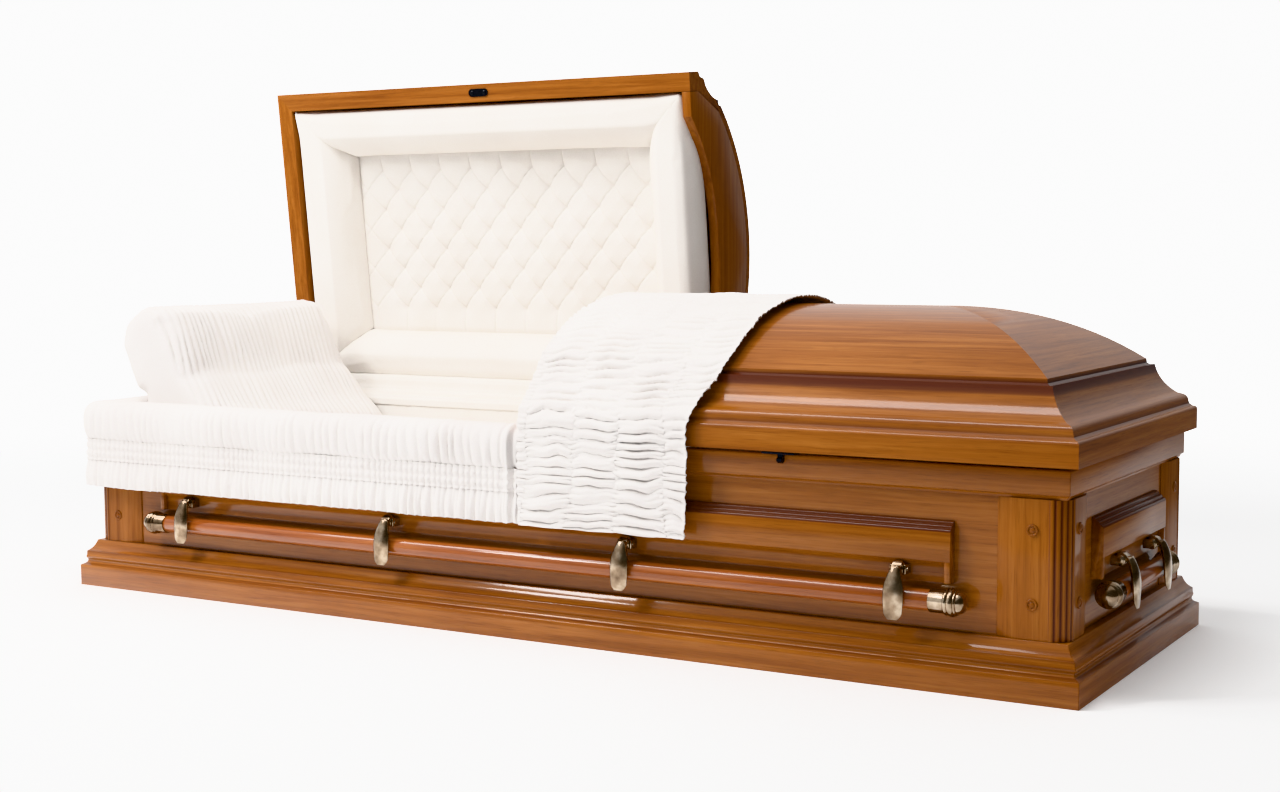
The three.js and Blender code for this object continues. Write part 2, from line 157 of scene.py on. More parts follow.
def mixed(tree, blend, factor, a, b):
    """Two colours mixed; factor is a number or a socket."""
    node = add(tree, "ShaderNodeMix", {"data_type": "RGBA", "blend_type": blend})
    for socket, value in ((node.inputs[0], factor), (node.inputs[6], a), (node.inputs[7], b)):
        if isinstance(value, bpy.types.NodeSocket):
            tree.links.new(value, socket)
        else:
            socket.default_value = value
    return node.outputs[2]


# Materials

def lacquered_cherry(name, grain, stops, coat):
    """Cherry, stained and sprayed with satin lacquer: long streaks about 10 mm wide run with the grain,
    pores are dashes about 1 mm wide, and burgundy lines in the creases and hollows are dark glaze and painted
    shade."""
    material, tree = blank(name)
    place = add(tree, "ShaderNodeTexCoord").outputs["Object"]
    long = {"X": (2.6, 95.0, 95.0), "Y": (95.0, 2.6, 95.0), "Z": (95.0, 95.0, 2.6)}[grain]
    streaks = add(tree, "ShaderNodeMapping", values={"Scale": long}, links={"Vector": place})
    figure = add(tree, "ShaderNodeTexNoise", values={"Scale": 1.0, "Detail": 4.0, "Roughness": 0.6,
                 "Distortion": 0.5}, links={"Vector": streaks.outputs["Vector"]})
    fine = add(tree, "ShaderNodeMapping", values={"Scale": tuple(9 * s for s in long)},
               links={"Vector": place})
    pores = add(tree, "ShaderNodeTexNoise", values={"Scale": 1.0, "Detail": 3.0},
                links={"Vector": fine.outputs["Vector"]})
    clouds = add(tree, "ShaderNodeTexNoise", values={"Scale": 3.1, "Detail": 2.0}, links={"Vector": place})
    wood = ramp(tree, figure.outputs["Fac"], stops)
    cloud_tint = ramp(tree, clouds.outputs["Fac"], ((0.30, "#E4DAD2"), (0.70, "#FFFFFF")))
    pore_tint = ramp(tree, pores.outputs["Fac"], ((0.30, "#8A6A58"), (0.46, "#FFFFFF")))
    colour = mixed(tree, "MULTIPLY", 0.75, wood, cloud_tint)
    colour = mixed(tree, "MULTIPLY", 0.35, colour, pore_tint)
    # Burgundy mixed in by each piece's attribute: dark glaze, and painted shade in the creases and hollows
    glaze_and_shade = add(tree, "ShaderNodeAttribute", {"attribute_name": "glaze_and_painted_shade"}).outputs["Fac"]
    colour = mixed(tree, "MIX", glaze_and_shade, colour, linear("#46201C"))
    bump = add(tree, "ShaderNodeBump", values={"Strength": 0.08, "Distance": 0.0004},
               links={"Height": pores.outputs["Fac"]})
    gloss = add(tree, "ShaderNodeMapRange", values={"To Min": 0.31, "To Max": 0.45},
                links={"Value": clouds.outputs["Fac"]})
    surface(tree, {"IOR": 1.20, "Coat Weight": coat, "Coat Roughness": 0.10, "Coat IOR": 1.5},
            {"Base Color": colour, "Roughness": gloss.outputs["Result"], "Normal": bump.outputs["Normal"]})
    return material


def bare_poplar():
    """Planed poplar with no finish, under the case and inside it: pale streaks about 33 mm wide."""
    material, tree = blank("planed poplar")
    place = add(tree, "ShaderNodeTexCoord").outputs["Object"]
    stretched = add(tree, "ShaderNodeMapping", values={"Scale": (2.0, 30.0, 30.0)}, links={"Vector": place})
    figure = add(tree, "ShaderNodeTexNoise", values={"Scale": 1.0, "Detail": 5.0, "Distortion": 0.5},
                 links={"Vector": stretched.outputs["Vector"]})
    colour = ramp(tree, figure.outputs["Fac"], ((0.3, "#B08D62"), (0.7, "#CDB088")))
    bump = add(tree, "ShaderNodeBump", values={"Strength": 0.15, "Distance": 0.0005},
               links={"Height": figure.outputs["Fac"]})
    surface(tree, {"Roughness": 0.7}, {"Base Color": colour, "Normal": bump.outputs["Normal"]})
    return material


def antique_brass():
    """Cast zinc plated in antique brass and rubbed back: warm pewter, browner in clouds about 22 mm across.
    The grit of the casting is under 0.5 mm and is drawn about 1 mm so that it shows."""
    material, tree = blank("antique brass plate")
    place = add(tree, "ShaderNodeTexCoord").outputs["Object"]
    clouds = add(tree, "ShaderNodeTexNoise", values={"Scale": 45.0, "Detail": 3.0}, links={"Vector": place})
    grit = add(tree, "ShaderNodeTexNoise", values={"Scale": 900.0, "Detail": 2.0}, links={"Vector": place})
    colour = ramp(tree, clouds.outputs["Fac"], ((0.30, "#6A594A"), (0.5, "#907D69"), (0.70, "#BCAC98")))
    rough = add(tree, "ShaderNodeMapRange", values={"To Min": 0.24, "To Max": 0.14},
                links={"Value": clouds.outputs["Fac"]})
    bump = add(tree, "ShaderNodeBump", values={"Strength": 0.05, "Distance": 0.0002},
               links={"Height": grit.outputs["Fac"]})
    surface(tree, {"Metallic": 1.0},
            {"Base Color": colour, "Roughness": rough.outputs["Result"], "Normal": bump.outputs["Normal"]})
    return material


def blackened_steel():
    """Pressed steel, blackened: nearly black with a soft oily gloss. Its grit is drawn under 2 mm, coarser
    than it is, so that it shows."""
    material, tree = blank("blackened steel")
    place = add(tree, "ShaderNodeTexCoord").outputs["Object"]
    grit = add(tree, "ShaderNodeTexNoise", values={"Scale": 600.0, "Detail": 3.0}, links={"Vector": place})
    colour = ramp(tree, grit.outputs["Fac"], ((0.35, "#0D0E11"), (0.65, "#22242A")))
    bump = add(tree, "ShaderNodeBump", values={"Strength": 0.2, "Distance": 0.0003},
               links={"Height": grit.outputs["Fac"]})
    surface(tree, {"Metallic": 0.7, "Roughness": 0.34},
            {"Base Color": colour, "Normal": bump.outputs["Normal"]})
    return material


def cloth(name, stops, pebble, weave, sheen, pucker=0.3):
    """A woven cloth: pebble is the size of its crinkle and weave that of its threads, in metres. The threads
    are about 0.3 mm in the real cloth and are drawn coarser so that they show."""
    material, tree = blank(name)
    place = add(tree, "ShaderNodeTexCoord").outputs["Object"]
    crinkle = add(tree, "ShaderNodeTexNoise", values={"Scale": 1 / pebble, "Detail": 3.0, "Roughness": 0.6,
                  "Distortion": 0.4}, links={"Vector": place})
    threads = add(tree, "ShaderNodeTexNoise", values={"Scale": 1 / weave, "Detail": 2.0},
                  links={"Vector": place})
    clouds = add(tree, "ShaderNodeTexNoise", values={"Scale": 6.0, "Detail": 2.0}, links={"Vector": place})
    colour = mixed(tree, "MULTIPLY", 0.35, ramp(tree, clouds.outputs["Fac"], stops),
                   ramp(tree, threads.outputs["Fac"], ((0.35, "#DDD6D0"), (0.6, "#FFFFFF"))))
    height = add(tree, "ShaderNodeMath", {"operation": "ADD"})
    tree.links.new(crinkle.outputs["Fac"], height.inputs[0])
    tree.links.new(threads.outputs["Fac"], height.inputs[1])
    bump = add(tree, "ShaderNodeBump", values={"Strength": pucker, "Distance": 0.0008},
               links={"Height": height.outputs["Value"]})
    surface(tree, {"Roughness": 0.92, "Sheen Weight": sheen, "Sheen Roughness": 0.5,
                   "Sheen Tint": linear("#FFF8F0")},
            {"Base Color": colour, "Normal": bump.outputs["Normal"]})
    return material


FRONT_STOPS = ((0.25, "#784319"), (0.5, "#905725"), (0.75, "#A46A34"))
POLE_STOPS = ((0.25, "#783F20"), (0.5, "#92532C"), (0.75, "#A6673A"))
cherry_x = lacquered_cherry("lacquered cherry, grain along", "X", FRONT_STOPS, 0.55)
cherry_y = lacquered_cherry("lacquered cherry, grain across", "Y", FRONT_STOPS, 0.24)
cherry_z = lacquered_cherry("lacquered cherry, grain upright", "Z", FRONT_STOPS, 0.25)
pole_x = lacquered_cherry("turned cherry pole, along", "X", POLE_STOPS, 0.9)
pole_y = lacquered_cherry("turned cherry pole, across", "Y", POLE_STOPS, 0.4)
poplar = bare_poplar()
brass = antique_brass()
black = blackened_steel()
crepe = cloth("ivory crepe", ((0.3, "#DEDAD8"), (0.7, "#ECE9E7")), 0.0035, 0.0011, 0.25)
velvet = cloth("cream velvet", ((0.3, "#EAE6E1"), (0.7, "#F3F0EC")), 0.0022, 0.0009, 0.4, pucker=0.12)


# Making meshes

def outline(corners, fine=8):
    """A path through corner points. A third value on a point swells the stretch that leads to it by that
    much, to the left of the way it runs."""
    points = []
    for index, corner in enumerate(corners):
        u, v = corner[0], corner[1]
        swell = corner[2] if len(corner) > 2 else 0.0
        u0, v0 = corners[max(index - 1, 0)][:2]
        long = math.hypot(u - u0, v - v0) or 1.0
        steps = fine if swell else 1
        for step in range(1, steps + 1):
            t = step / steps
            rise = swell * 4 * t * (1 - t) / long
            points.append((u0 + (u - u0) * t - (v - v0) * rise, v0 + (v - v0) * t + (u - u0) * rise))
    return points


def draw_out(bm, points, along):
    """A solid drawn out from a flat outline of 3-D points."""
    start = bm.faces.new([bm.verts.new(point) for point in points])
    grown = bmesh.ops.extrude_face_region(bm, geom=[start])
    moved = [item for item in grown["geom"] if isinstance(item, bmesh.types.BMVert)]
    bmesh.ops.translate(bm, verts=moved, vec=along)


def cut(bm, point, normal, fill=True):
    """Everything on the normal's side of a plane is cut away."""
    geometry = bm.verts[:] + bm.edges[:] + bm.faces[:]
    parted = bmesh.ops.bisect_plane(bm, geom=geometry, plane_co=point, plane_no=normal, clear_outer=True)
    edges = [item for item in parted["geom_cut"] if isinstance(item, bmesh.types.BMEdge)]
    if fill:
        bmesh.ops.edgenet_fill(bm, edges=edges)


def outward(bm):
    """Every face points out of its piece."""
    bmesh.ops.recalc_face_normals(bm, faces=bm.faces)


def rounded(bm, edges, size, segments, clamp=True):
    """Rounds edges over."""
    bmesh.ops.bevel(bm, geom=edges, offset=size, segments=segments, profile=0.5, affect="EDGES",
                    clamp_overlap=clamp, material=-1)


def soften(bm, size):
    """A small round on each sharp edge, as sanding leaves."""
    bmesh.ops.remove_doubles(bm, verts=bm.verts, dist=1e-6)
    outward(bm)
    sharp = [e for e in bm.edges if len(e.link_faces) == 2 and e.calc_face_angle(0) > math.radians(28)]
    rounded(bm, sharp, size, 2)


def placed(name, bm):
    """An object at the origin that holds a finished mesh."""
    mesh = bpy.data.meshes.new(name)
    bm.to_mesh(mesh)
    bm.free()
    piece = bpy.data.objects.new(name, mesh)
    bpy.context.scene.collection.objects.link(piece)
    return piece


def made(name, bm, finishes, body, replaces=(), smooth=32):
    """The finished piece: its mesh, finishes and body, and it hides the nodes that it stands for. Edges
    sharper than smooth, in degrees, stay crisp; 0 shades all of it smooth."""
    piece = placed(name, bm)
    for finish in finishes:
        piece.data.materials.append(finish)
    piece.data.shade_smooth()
    if smooth:
        piece.data.set_sharp_from_angle(angle=math.radians(smooth))
    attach(piece, body)
    if replaces:
        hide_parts(*replaces)
    return piece


def turned(bm, side):
    """Turns what was drawn at the front to its own side of the case."""
    bmesh.ops.rotate(bm, verts=bm.verts, cent=(0, 0, 0), matrix=Matrix.Rotation(side["turn"], 3, "Z"))


def paint_glaze_and_shade(bm, measure):
    """How much burgundy each point of a piece gets, from 0 to 1: dark glaze, and painted shade in creases and
    hollows.
    """
    layer = bm.verts.layers.float.new("glaze_and_painted_shade")
    for vert in bm.verts:
        vert[layer] = measure(vert.co)


def step_up(value, low, high):
    """0 up to low, 1 from high on, and a soft rise between."""
    t = min(max((value - low) / (high - low), 0.0), 1.0)
    return t * t * (3 - 2 * t)


def within(value, low, high, edge=0.0012):
    """1 between low and high, and a soft edge to 0 outside them."""
    return step_up(value, low - edge, low) * (1 - step_up(value, high, high + edge))


# Sections of the case, as (inset, height)
plinth_section = outline([
    (FLOOR_EDGE - GAP, 0.0), (0.0, 0.0), (0.0, 0.0415), (0.007, 0.045), (0.0105, 0.053, -0.0015),
    (0.0092, 0.062, 0.0015), (0.0095, 0.070), (0.022, 0.084, -0.0014), (0.0255, PLINTH_TOP),
    (FLOOR_EDGE - GAP, PLINTH_TOP)])
rim_section = outline([
    (RIM["inside"], RIM["low"]), (0.032, RIM["low"]), (RIM["face"], 0.317, -0.0015), (RIM["face"], 0.352),
    (0.029, RIM["top"], 0.001), (RIM["inside"], RIM["top"])])
raised_section = outline([
    (WALL_FACE - GAP, RAISED["low"]), (0.029, RAISED["low"]), (0.030, 0.186, -0.001),
    (RAISED["field"] + 0.002, 0.201, -0.003), (RAISED["field"], 0.203), (RAISED["field"], 0.249),
    (0.024, 0.2546, 0.0016), (0.030, 0.2602, 0.0016), (0.036, RAISED["high"], 0.0016),
    (WALL_FACE - GAP, RAISED["high"])])


def mitred(section, side, gap=0.00025):
    """A length of moulding on one side of the case, both ends cut to the mitre with a hair of a gap."""
    bm = bmesh.new()
    run, out = side["run"], side["out"]
    draw_out(bm, [(-run, inset - out, z) for inset, z in section], (2 * run, 0, 0))
    for end in (-1, 1):
        cut(bm, (end * (run - gap), -out, 0), (end, 1, 0))
    soften(bm, 0.0007)
    return bm


def wood_of(side):
    """The grain runs along each side."""
    return cherry_x if side["long"] else cherry_y


def plinth(side):
    """The plinth's moulding on one side, with dark glaze and painted shade in its two creases."""
    bm = mitred(plinth_section, side)
    paint_glaze_and_shade(bm, lambda co: 0.55 * within(co.z, 0.0425, 0.0455) + 0.4 * within(co.z, 0.0685, 0.0715))
    turned(bm, side)
    made(f"plinth_{side['name']}_moulding", bm, [wood_of(side)], "root",
         [f"plinth_{side['name']}"])


def rim(side):
    """The top rail on one side."""
    bm = mitred(rim_section, side)
    paint_glaze_and_shade(bm, lambda co: 0.0)
    turned(bm, side)
    made(f"rim_{side['name']}_rail", bm, [wood_of(side)], "root", [f"rim_{side['name']}"])


def raised_panel(side):
    """The raised panel on one side: reeds along its top, and a block at each end that closes its hollow."""
    bm = bmesh.new()
    half = RAISED["long"] if side["long"] else RAISED["short"]
    draw_out(bm, [(-half, inset - side["out"], z) for inset, z in raised_section], (2 * half, 0, 0))
    soften(bm, 0.0006)
    for end in (-1, 1):
        x0, x1 = sorted((end * (half - 0.0105), end * (half - 0.0002)))
        join_box(bm, (x0, RAISED["field"] + 0.0006 - side["out"], RAISED["low"] + 0.0002),
                 (x1, 0.034 - side["out"], 0.212), 0.0022)
    # Dark glaze and painted shade along the reeds at the panel's top
    paint_glaze_and_shade(bm, lambda co: 0.8 * within(co.z, 0.2500, RAISED["high"], 0.0008))
    turned(bm, side)
    made(f"raised_panel_{side['name']}_board", bm, [wood_of(side)], "root",
         [f"raised_panel_{side['name']}"])


def corner_post(end_name, sign_x, face_name, sign_y):
    """The post wraps the corner: a bevelled strip, a flat and a reeded quarter round."""
    face, radius, reeds = POST["face"], POST["radius"], POST["reeds"]
    turn_in = face + radius
    flat_end = turn_in + POST["flat"]
    wing_end = flat_end + POST["bevel"]
    back = WALL_FACE - GAP
    curve = [(turn_in, face)]
    for k in range(1, reeds + 1):
        angle = k / reeds * math.pi / 2
        curve.append((turn_in - radius * math.sin(angle), turn_in - radius * math.cos(angle), 0.0022))
    half = [(wing_end, back), (wing_end, face + 0.008), (flat_end, face)]
    plan = half + outline(curve) + [(v, u) for u, v in reversed(half)] + [(back, back)]
    bm = bmesh.new()
    low = POST["low"]
    points = [(sign_x * (HALF_LENGTH - u), sign_y * (HALF_WIDTH - v), low) for u, v in plan]
    draw_out(bm, points, (0, 0, WALL_TOP - low))
    soften(bm, 0.0005)
    centre = (sign_x * (HALF_LENGTH - turn_in), sign_y * (HALF_WIDTH - turn_in))

    def reed_glaze_and_shade(co):
        """Dark glaze and painted shade lie between the reeds."""
        u, v = (co.x - centre[0]) * sign_x, (co.y - centre[1]) * sign_y
        if u < 0.0005 or v < 0.0005:
            return 0.0
        depth = math.hypot(u, v) - radius
        return 0.9 * (1 - step_up(depth, 0.0004, 0.0018))

    paint_glaze_and_shade(bm, reed_glaze_and_shade)
    made(f"post_{end_name}_{face_name}", bm, [cherry_z], "root",
         [f"corner_post_{end_name}_{face_name}"])


# Lays what was turned upright along X
ALONG_X = Matrix.Rotation(math.pi / 2, 4, "Y")


def lathe(bm, profile, matrix, steps):
    """A turned shape: profile is (radius, height) about +Z, then placed by a matrix."""
    verts = [bm.verts.new((r, 0, h)) for r, h in profile]
    edges = [bm.edges.new(pair) for pair in zip(verts, verts[1:])]
    spun = bmesh.ops.spin(bm, geom=verts + edges, cent=(0, 0, 0), axis=(0, 0, 1), angle=2 * math.pi,
                          steps=steps, use_merge=True, use_duplicate=False)
    found = {item for item in spun["geom_last"] if isinstance(item, bmesh.types.BMVert)}
    linked = set()
    queue = list(found | set(verts))
    while queue:
        vert = queue.pop()
        if vert.is_valid and vert not in linked:
            linked.add(vert)
            queue.extend(e.other_vert(vert) for e in vert.link_edges)
    bmesh.ops.remove_doubles(bm, verts=list(linked), dist=1e-6)
    bmesh.ops.transform(bm, matrix=matrix, verts=[v for v in linked if v.is_valid])


plug_profile = [
    (0.0, -0.002), (0.0095, -0.002), (0.0095, 0.0012), (0.0088, 0.0022), (0.0072, 0.0024), (0.0062, 0.0017),
    (0.0058, 0.0008), (0.0048, 0.0008), (0.0040, 0.0018), (0.0022, 0.0025), (0.0, 0.0027)]


def plugs():
    """Turned wooden plugs, each a ring round a button, over the screws of the posts."""
    bm = bmesh.new()
    for sign_x in (-1, 1):
        for sign_y in (-1, 1):
            for height in PLUG["heights"]:
                on_face = Matrix.Translation((sign_x * (HALF_LENGTH - PLUG["inset"]),
                                              sign_y * (HALF_WIDTH - POST["face"]), height))
                lathe(bm, plug_profile, on_face @ Matrix.Rotation(-sign_y * math.pi / 2, 4, "X"), 24)
                on_end = Matrix.Translation((sign_x * (HALF_LENGTH - POST["face"]),
                                             sign_y * (HALF_WIDTH - PLUG["inset"]), height))
                lathe(bm, plug_profile, on_end @ Matrix.Rotation(sign_x * math.pi / 2, 4, "Y"), 24)
    outward(bm)
    paint_glaze_and_shade(bm, lambda co: 0.25)
    made("post_plugs", bm, [cherry_z], "root", smooth=50)


# The lids

lid_outside = outline([
    (LID["edge"], LID["low"]), (LID["edge"], 0.397), (0.015, 0.4025, 0.0016), (0.020, 0.407),
    (0.0214, 0.4125), (0.031, 0.425, 0.0026), (0.037, 0.427), (0.070, 0.479, -0.006), (0.076, 0.4785),
    (0.081, 0.482), (0.082, 0.489), (HALF_WIDTH, LID["crown"], 0.0257)], fine=14)
lid_inside = outline([
    (HALF_WIDTH, LID["crown"] - LID["skin"]), (*DOME_FOOT, -0.0248), (LID["rail"], LID["shoulder"]),
    (LID["rail"], LID["low"])], fine=14)


def to_open(bm):
    """Turns what was drawn closed about the hinge, to where the head lid stands."""
    bmesh.ops.rotate(bm, verts=bm.verts, cent=(0, HINGE["y"], HINGE["z"]),
                     matrix=Matrix.Rotation(-OPEN_ANGLE, 3, "X"))


def lid_glaze_and_shade(co):
    """Dark glaze and painted shade lie in the crease under the dome, and lightly in the steps of the crown.
    """
    return 0.85 * within(co.z, 0.4665, 0.4835, 0.003) + 0.5 * within(co.z, 0.4040, 0.4085, 0.001)


def lid_cap(name, end, cut_at):
    """The crown and dome of a lid, hipped down to its end: two long sides and an end that meet at mitres."""
    section = lid_outside + lid_inside
    bm = bmesh.new()
    draw_out(bm, [(cut_at, inset - HALF_WIDTH, z) for inset, z in section],
             (end * (HALF_LENGTH + 0.05), 0, 0))
    bmesh.ops.delete(bm, geom=[f for f in bm.faces if all(abs(v.co.y) < 1e-6 for v in f.verts)],
                     context="FACES_ONLY")
    cut(bm, (end * HALF_LENGTH, -HALF_WIDTH, 0), (end, 1, 0), fill=False)
    bmesh.ops.mirror(bm, geom=bm.verts[:] + bm.edges[:] + bm.faces[:], axis="Y", merge_dist=1e-5)
    across = bmesh.new()
    draw_out(across, [(end * (HALF_LENGTH - inset), -HALF_WIDTH, z) for inset, z in section], (0, WIDTH, 0))
    flat = [f for f in across.faces if f.normal.length and all(
        abs(v.co.x - end * (HALF_LENGTH - HALF_WIDTH)) < 1e-6 for v in f.verts)]
    bmesh.ops.delete(across, geom=flat, context="FACES_ONLY")
    for sign in (-1, 1):
        cut(across, (end * HALF_LENGTH, sign * HALF_WIDTH, 0), (-end, sign, 0), fill=False)
    for face in across.faces:
        face.material_index = 1
    hip = bpy.data.meshes.new("hip")
    across.to_mesh(hip)
    across.free()
    bm.from_mesh(hip)
    bpy.data.meshes.remove(hip)
    bmesh.ops.remove_doubles(bm, verts=bm.verts, dist=2e-5)
    outward(bm)
    paint_glaze_and_shade(bm, lid_glaze_and_shade)
    if end < 0:
        to_open(bm)
    made(f"{name}_dome", bm, [cherry_x, cherry_z if end < 0 else cherry_y], name,
         [f"{name}_cap"], smooth=24)


def lid_header(name, end, cut_at):
    """The board that closes a lid's cut end, with an arch cut up into it."""
    clearance = HEADER["clearance"]
    side = outline([
        (LID["rail"] + clearance, LID["low"]), (LID["rail"] + clearance, LID["shoulder"] - clearance / 4),
        (DOME_FOOT[0] + clearance * 0.7, DOME_FOOT[1] - clearance),
        (HALF_WIDTH, LID["crown"] - LID["skin"] - clearance, 0.0248)])
    arch = outline([(HALF_WIDTH - HEADER["arch_half"], LID["low"]),
                    (HALF_WIDTH, LID["low"] + HEADER["arch_rise"], HEADER["arch_rise"] * 0.315)], fine=16)
    half = [(inset - HALF_WIDTH, z) for inset, z in side]
    under = [(inset - HALF_WIDTH, z) for inset, z in arch]
    points = half + [(-y, z) for y, z in reversed(half[:-1])]
    points += [(-y, z) for y, z in under[:-1]] + list(reversed(under))
    bm = bmesh.new()
    draw_out(bm, [(cut_at, y, z) for y, z in points], (end * HEADER["thick"], 0, 0))
    soften(bm, 0.001)
    paint_glaze_and_shade(bm, lambda co: 0.0)
    if end < 0:
        to_open(bm)
    made(f"{name}_arch_board", bm, [cherry_z if end < 0 else cherry_y], name,
         [f"{name}_header"])


# Metal fittings

def join_box(bm, low, high, bevel=0.0, segments=2):
    """Adds a box between two corners, with rounded edges where bevel is given."""
    middle = [(a + b) / 2 for a, b in zip(low, high)]
    size = [b - a for a, b in zip(low, high)]
    verts = bmesh.ops.create_cube(bm, size=1.0)["verts"]
    bmesh.ops.scale(bm, vec=size, verts=verts)
    bmesh.ops.translate(bm, vec=middle, verts=verts)
    if bevel:
        rounded(bm, list({e for v in verts for e in v.link_edges}), bevel, segments, clamp=False)


def bar_pole(side, tip_end):
    """The turned pole, its ends let into the tips' sockets."""
    half = tip_end - TIP["length"] + TIP["socket"] - 0.0004
    bm = bmesh.new()
    bmesh.ops.create_cone(bm, cap_ends=True, segments=40, radius1=BAR["radius"], radius2=BAR["radius"],
                          depth=2 * half)
    bmesh.ops.rotate(bm, verts=bm.verts, cent=(0, 0, 0), matrix=Matrix.Rotation(math.pi / 2, 3, "Y"))
    bmesh.ops.translate(bm, verts=bm.verts, vec=(0, BAR["inset"] - side["out"], BAR["z"]))
    soften(bm, 0.001)
    paint_glaze_and_shade(bm, lambda co: 0.0)
    turned(bm, side)
    made(f"{side['name']}_pole", bm, [pole_x if side["long"] else pole_y], f"{side['name']}_bar",
         [f"{side['name']}_bar_pole"])


tip_profile = [
    (0.0, 0.022), (0.0166, 0.022), (0.0166, 0.0), (0.0182, 0.0), (0.0188, 0.001), (0.0188, 0.0235),
    (0.0193, 0.0248), (0.0208, 0.0258), (0.0214, 0.0278), (0.0208, 0.0298), (0.0200, 0.0308),
    (0.0212, 0.0318), (0.0225, 0.0338), (0.0228, 0.0362), (0.0224, 0.0386), (0.0211, 0.0404),
    (0.0200, 0.0412), (0.0209, 0.0422), (0.0207, 0.0442), (0.0190, 0.0454), (0.0178, 0.0458),
    (0.0175, 0.0482), (0.0161, 0.0520), (0.0135, 0.0553), (0.0098, 0.0575), (0.0050, 0.0588), (0.0, 0.059)]


def bar_tip(side, index, end, tip_end):
    """A cast tip: a ferrule over the pole's end, two rings and a dome."""
    bm = bmesh.new()
    place = Matrix.Translation((end * (tip_end - TIP["length"]), BAR["inset"] - side["out"], BAR["z"]))
    lathe(bm, tip_profile, place @ Matrix.Rotation(end * math.pi / 2, 4, "Y"), 40)
    outward(bm)
    turned(bm, side)
    made(f"{side['name']}_cast_tip_{index}", bm, [brass], f"{side['name']}_bar",
         [f"{side['name']}_bar_tip_{index}"], smooth=55)


# The arm's middle line as (inset, height), and its half width and half thickness on the way.
# Room is how far it may reach from its pivot between two angles from upright, and grow the room past them.
ARM = {"path": ((0.021, 0.186), (0.0180, 0.1940), (0.0115, 0.1960), (0.0040, 0.1925),
                (-0.0030, 0.1820), (-0.0080, 0.1665), (-0.0104, 0.1480), (-0.0110, 0.1300),
                (-0.0121, 0.1180), (-0.0132, 0.1105)),
       "room": 0.0136, "grow": 0.0015, "from": -64, "to": 112,
       "wide": (0.0078, 0.0080, 0.0082, 0.0088, 0.0116, 0.0164, 0.0176, 0.0166, 0.0146, 0.0080),
       "thick": (0.0070, 0.0072, 0.0072, 0.0070, 0.0066, 0.0064, 0.0060, 0.0046, 0.0028, 0.0009)}


def eased(values, share):
    """A smooth value between the listed ones, at a share of the way along the list."""
    at = share * (len(values) - 1)
    k = min(int(at), len(values) - 2)
    t = at - k
    before, after = values[max(k - 1, 0)], values[min(k + 2, len(values) - 1)]
    a, b = values[k], values[k + 1]
    square = 2 * before - 5 * a + 4 * b - after
    cube = 3 * (a - b) + after - before
    return a + 0.5 * t * (b - before + t * (square + t * cube))


def bar_arm(side, index, x):
    """A cast arm: a round neck that loops up from its pivot and down over the pole into a thin spoon-like
    tail. Above the pivot it stays near enough to turn clear of the raised panel."""
    insets, heights = zip(*ARM["path"])

    def place(u, v):
        inset, z = eased(insets, v), eased(heights, v)
        ahead = min(v + 0.01, 1.0)
        behind = max(v - 0.01, 0.0)
        run = Vector((eased(insets, ahead) - eased(insets, behind),
                      eased(heights, ahead) - eased(heights, behind)))
        run.normalize()
        angle = 2 * math.pi * u
        lift = eased(ARM["thick"], v) * math.sin(angle)
        across = eased(ARM["wide"], v) * math.cos(angle)
        return Vector((x + across, inset + run.y * lift - side["out"], z - run.x * lift))

    bm = sheet_of(28, 44, place)
    for vert in bm.verts:
        inward, up = vert.co.y + side["out"] - BAR["pivot_inset"], vert.co.z - BAR["pivot_z"]
        from_up = math.degrees(math.atan2(inward, up))
        room = ARM["room"] + ARM["grow"] * max(0.0, ARM["from"] - from_up, from_up - ARM["to"])
        reach = math.hypot(inward, up)
        if reach > room:
            vert.co.y -= inward * (1 - room / reach)
            vert.co.z -= up * (1 - room / reach)
    bmesh.ops.remove_doubles(bm, verts=bm.verts, dist=1e-6)
    bmesh.ops.holes_fill(bm, edges=[e for e in bm.edges if e.is_boundary], sides=0)
    knuckle = Matrix.Translation((x, BAR["pivot_inset"] - side["out"], BAR["pivot_z"]))
    barrel = [(0.0, -0.0096), (0.0084, -0.0096), (0.0092, -0.0088), (0.0092, 0.0088), (0.0084, 0.0096),
              (0.0, 0.0096)]
    lathe(bm, barrel, knuckle @ ALONG_X, 28)
    outward(bm)
    turned(bm, side)
    made(f"{side['name']}_cast_arm_{index}", bm, [brass], f"{side['name']}_bar",
         [f"{side['name']}_bar_arm_{index}"], smooth=50)


def lugs(side, arms):
    """Fixed ears beside each arm's knuckle, close up to the raised panel, with the pivot pin."""
    bm = bmesh.new()
    inset, z = BAR["pivot_inset"], BAR["pivot_z"]
    for x in arms:
        for sign in (-1, 1):
            inner, outer = sorted((sign * 0.0106, sign * 0.0136))
            join_box(bm, (x + inner, inset - 0.007 - side["out"], z - 0.008),
                     (x + outer, 0.0295 - side["out"], z + 0.008), 0.0014)
        pin = Matrix.Translation((x, inset - side["out"], z)) @ ALONG_X
        lathe(bm, [(0.0, -0.0155), (0.003, -0.0152), (0.0034, -0.0136), (0.0034, 0.0136), (0.003, 0.0152),
                   (0.0, 0.0155)], pin, 16)
    outward(bm)
    turned(bm, side)
    made(f"{side['name']}_bar_lugs", bm, [brass], "root", smooth=50)


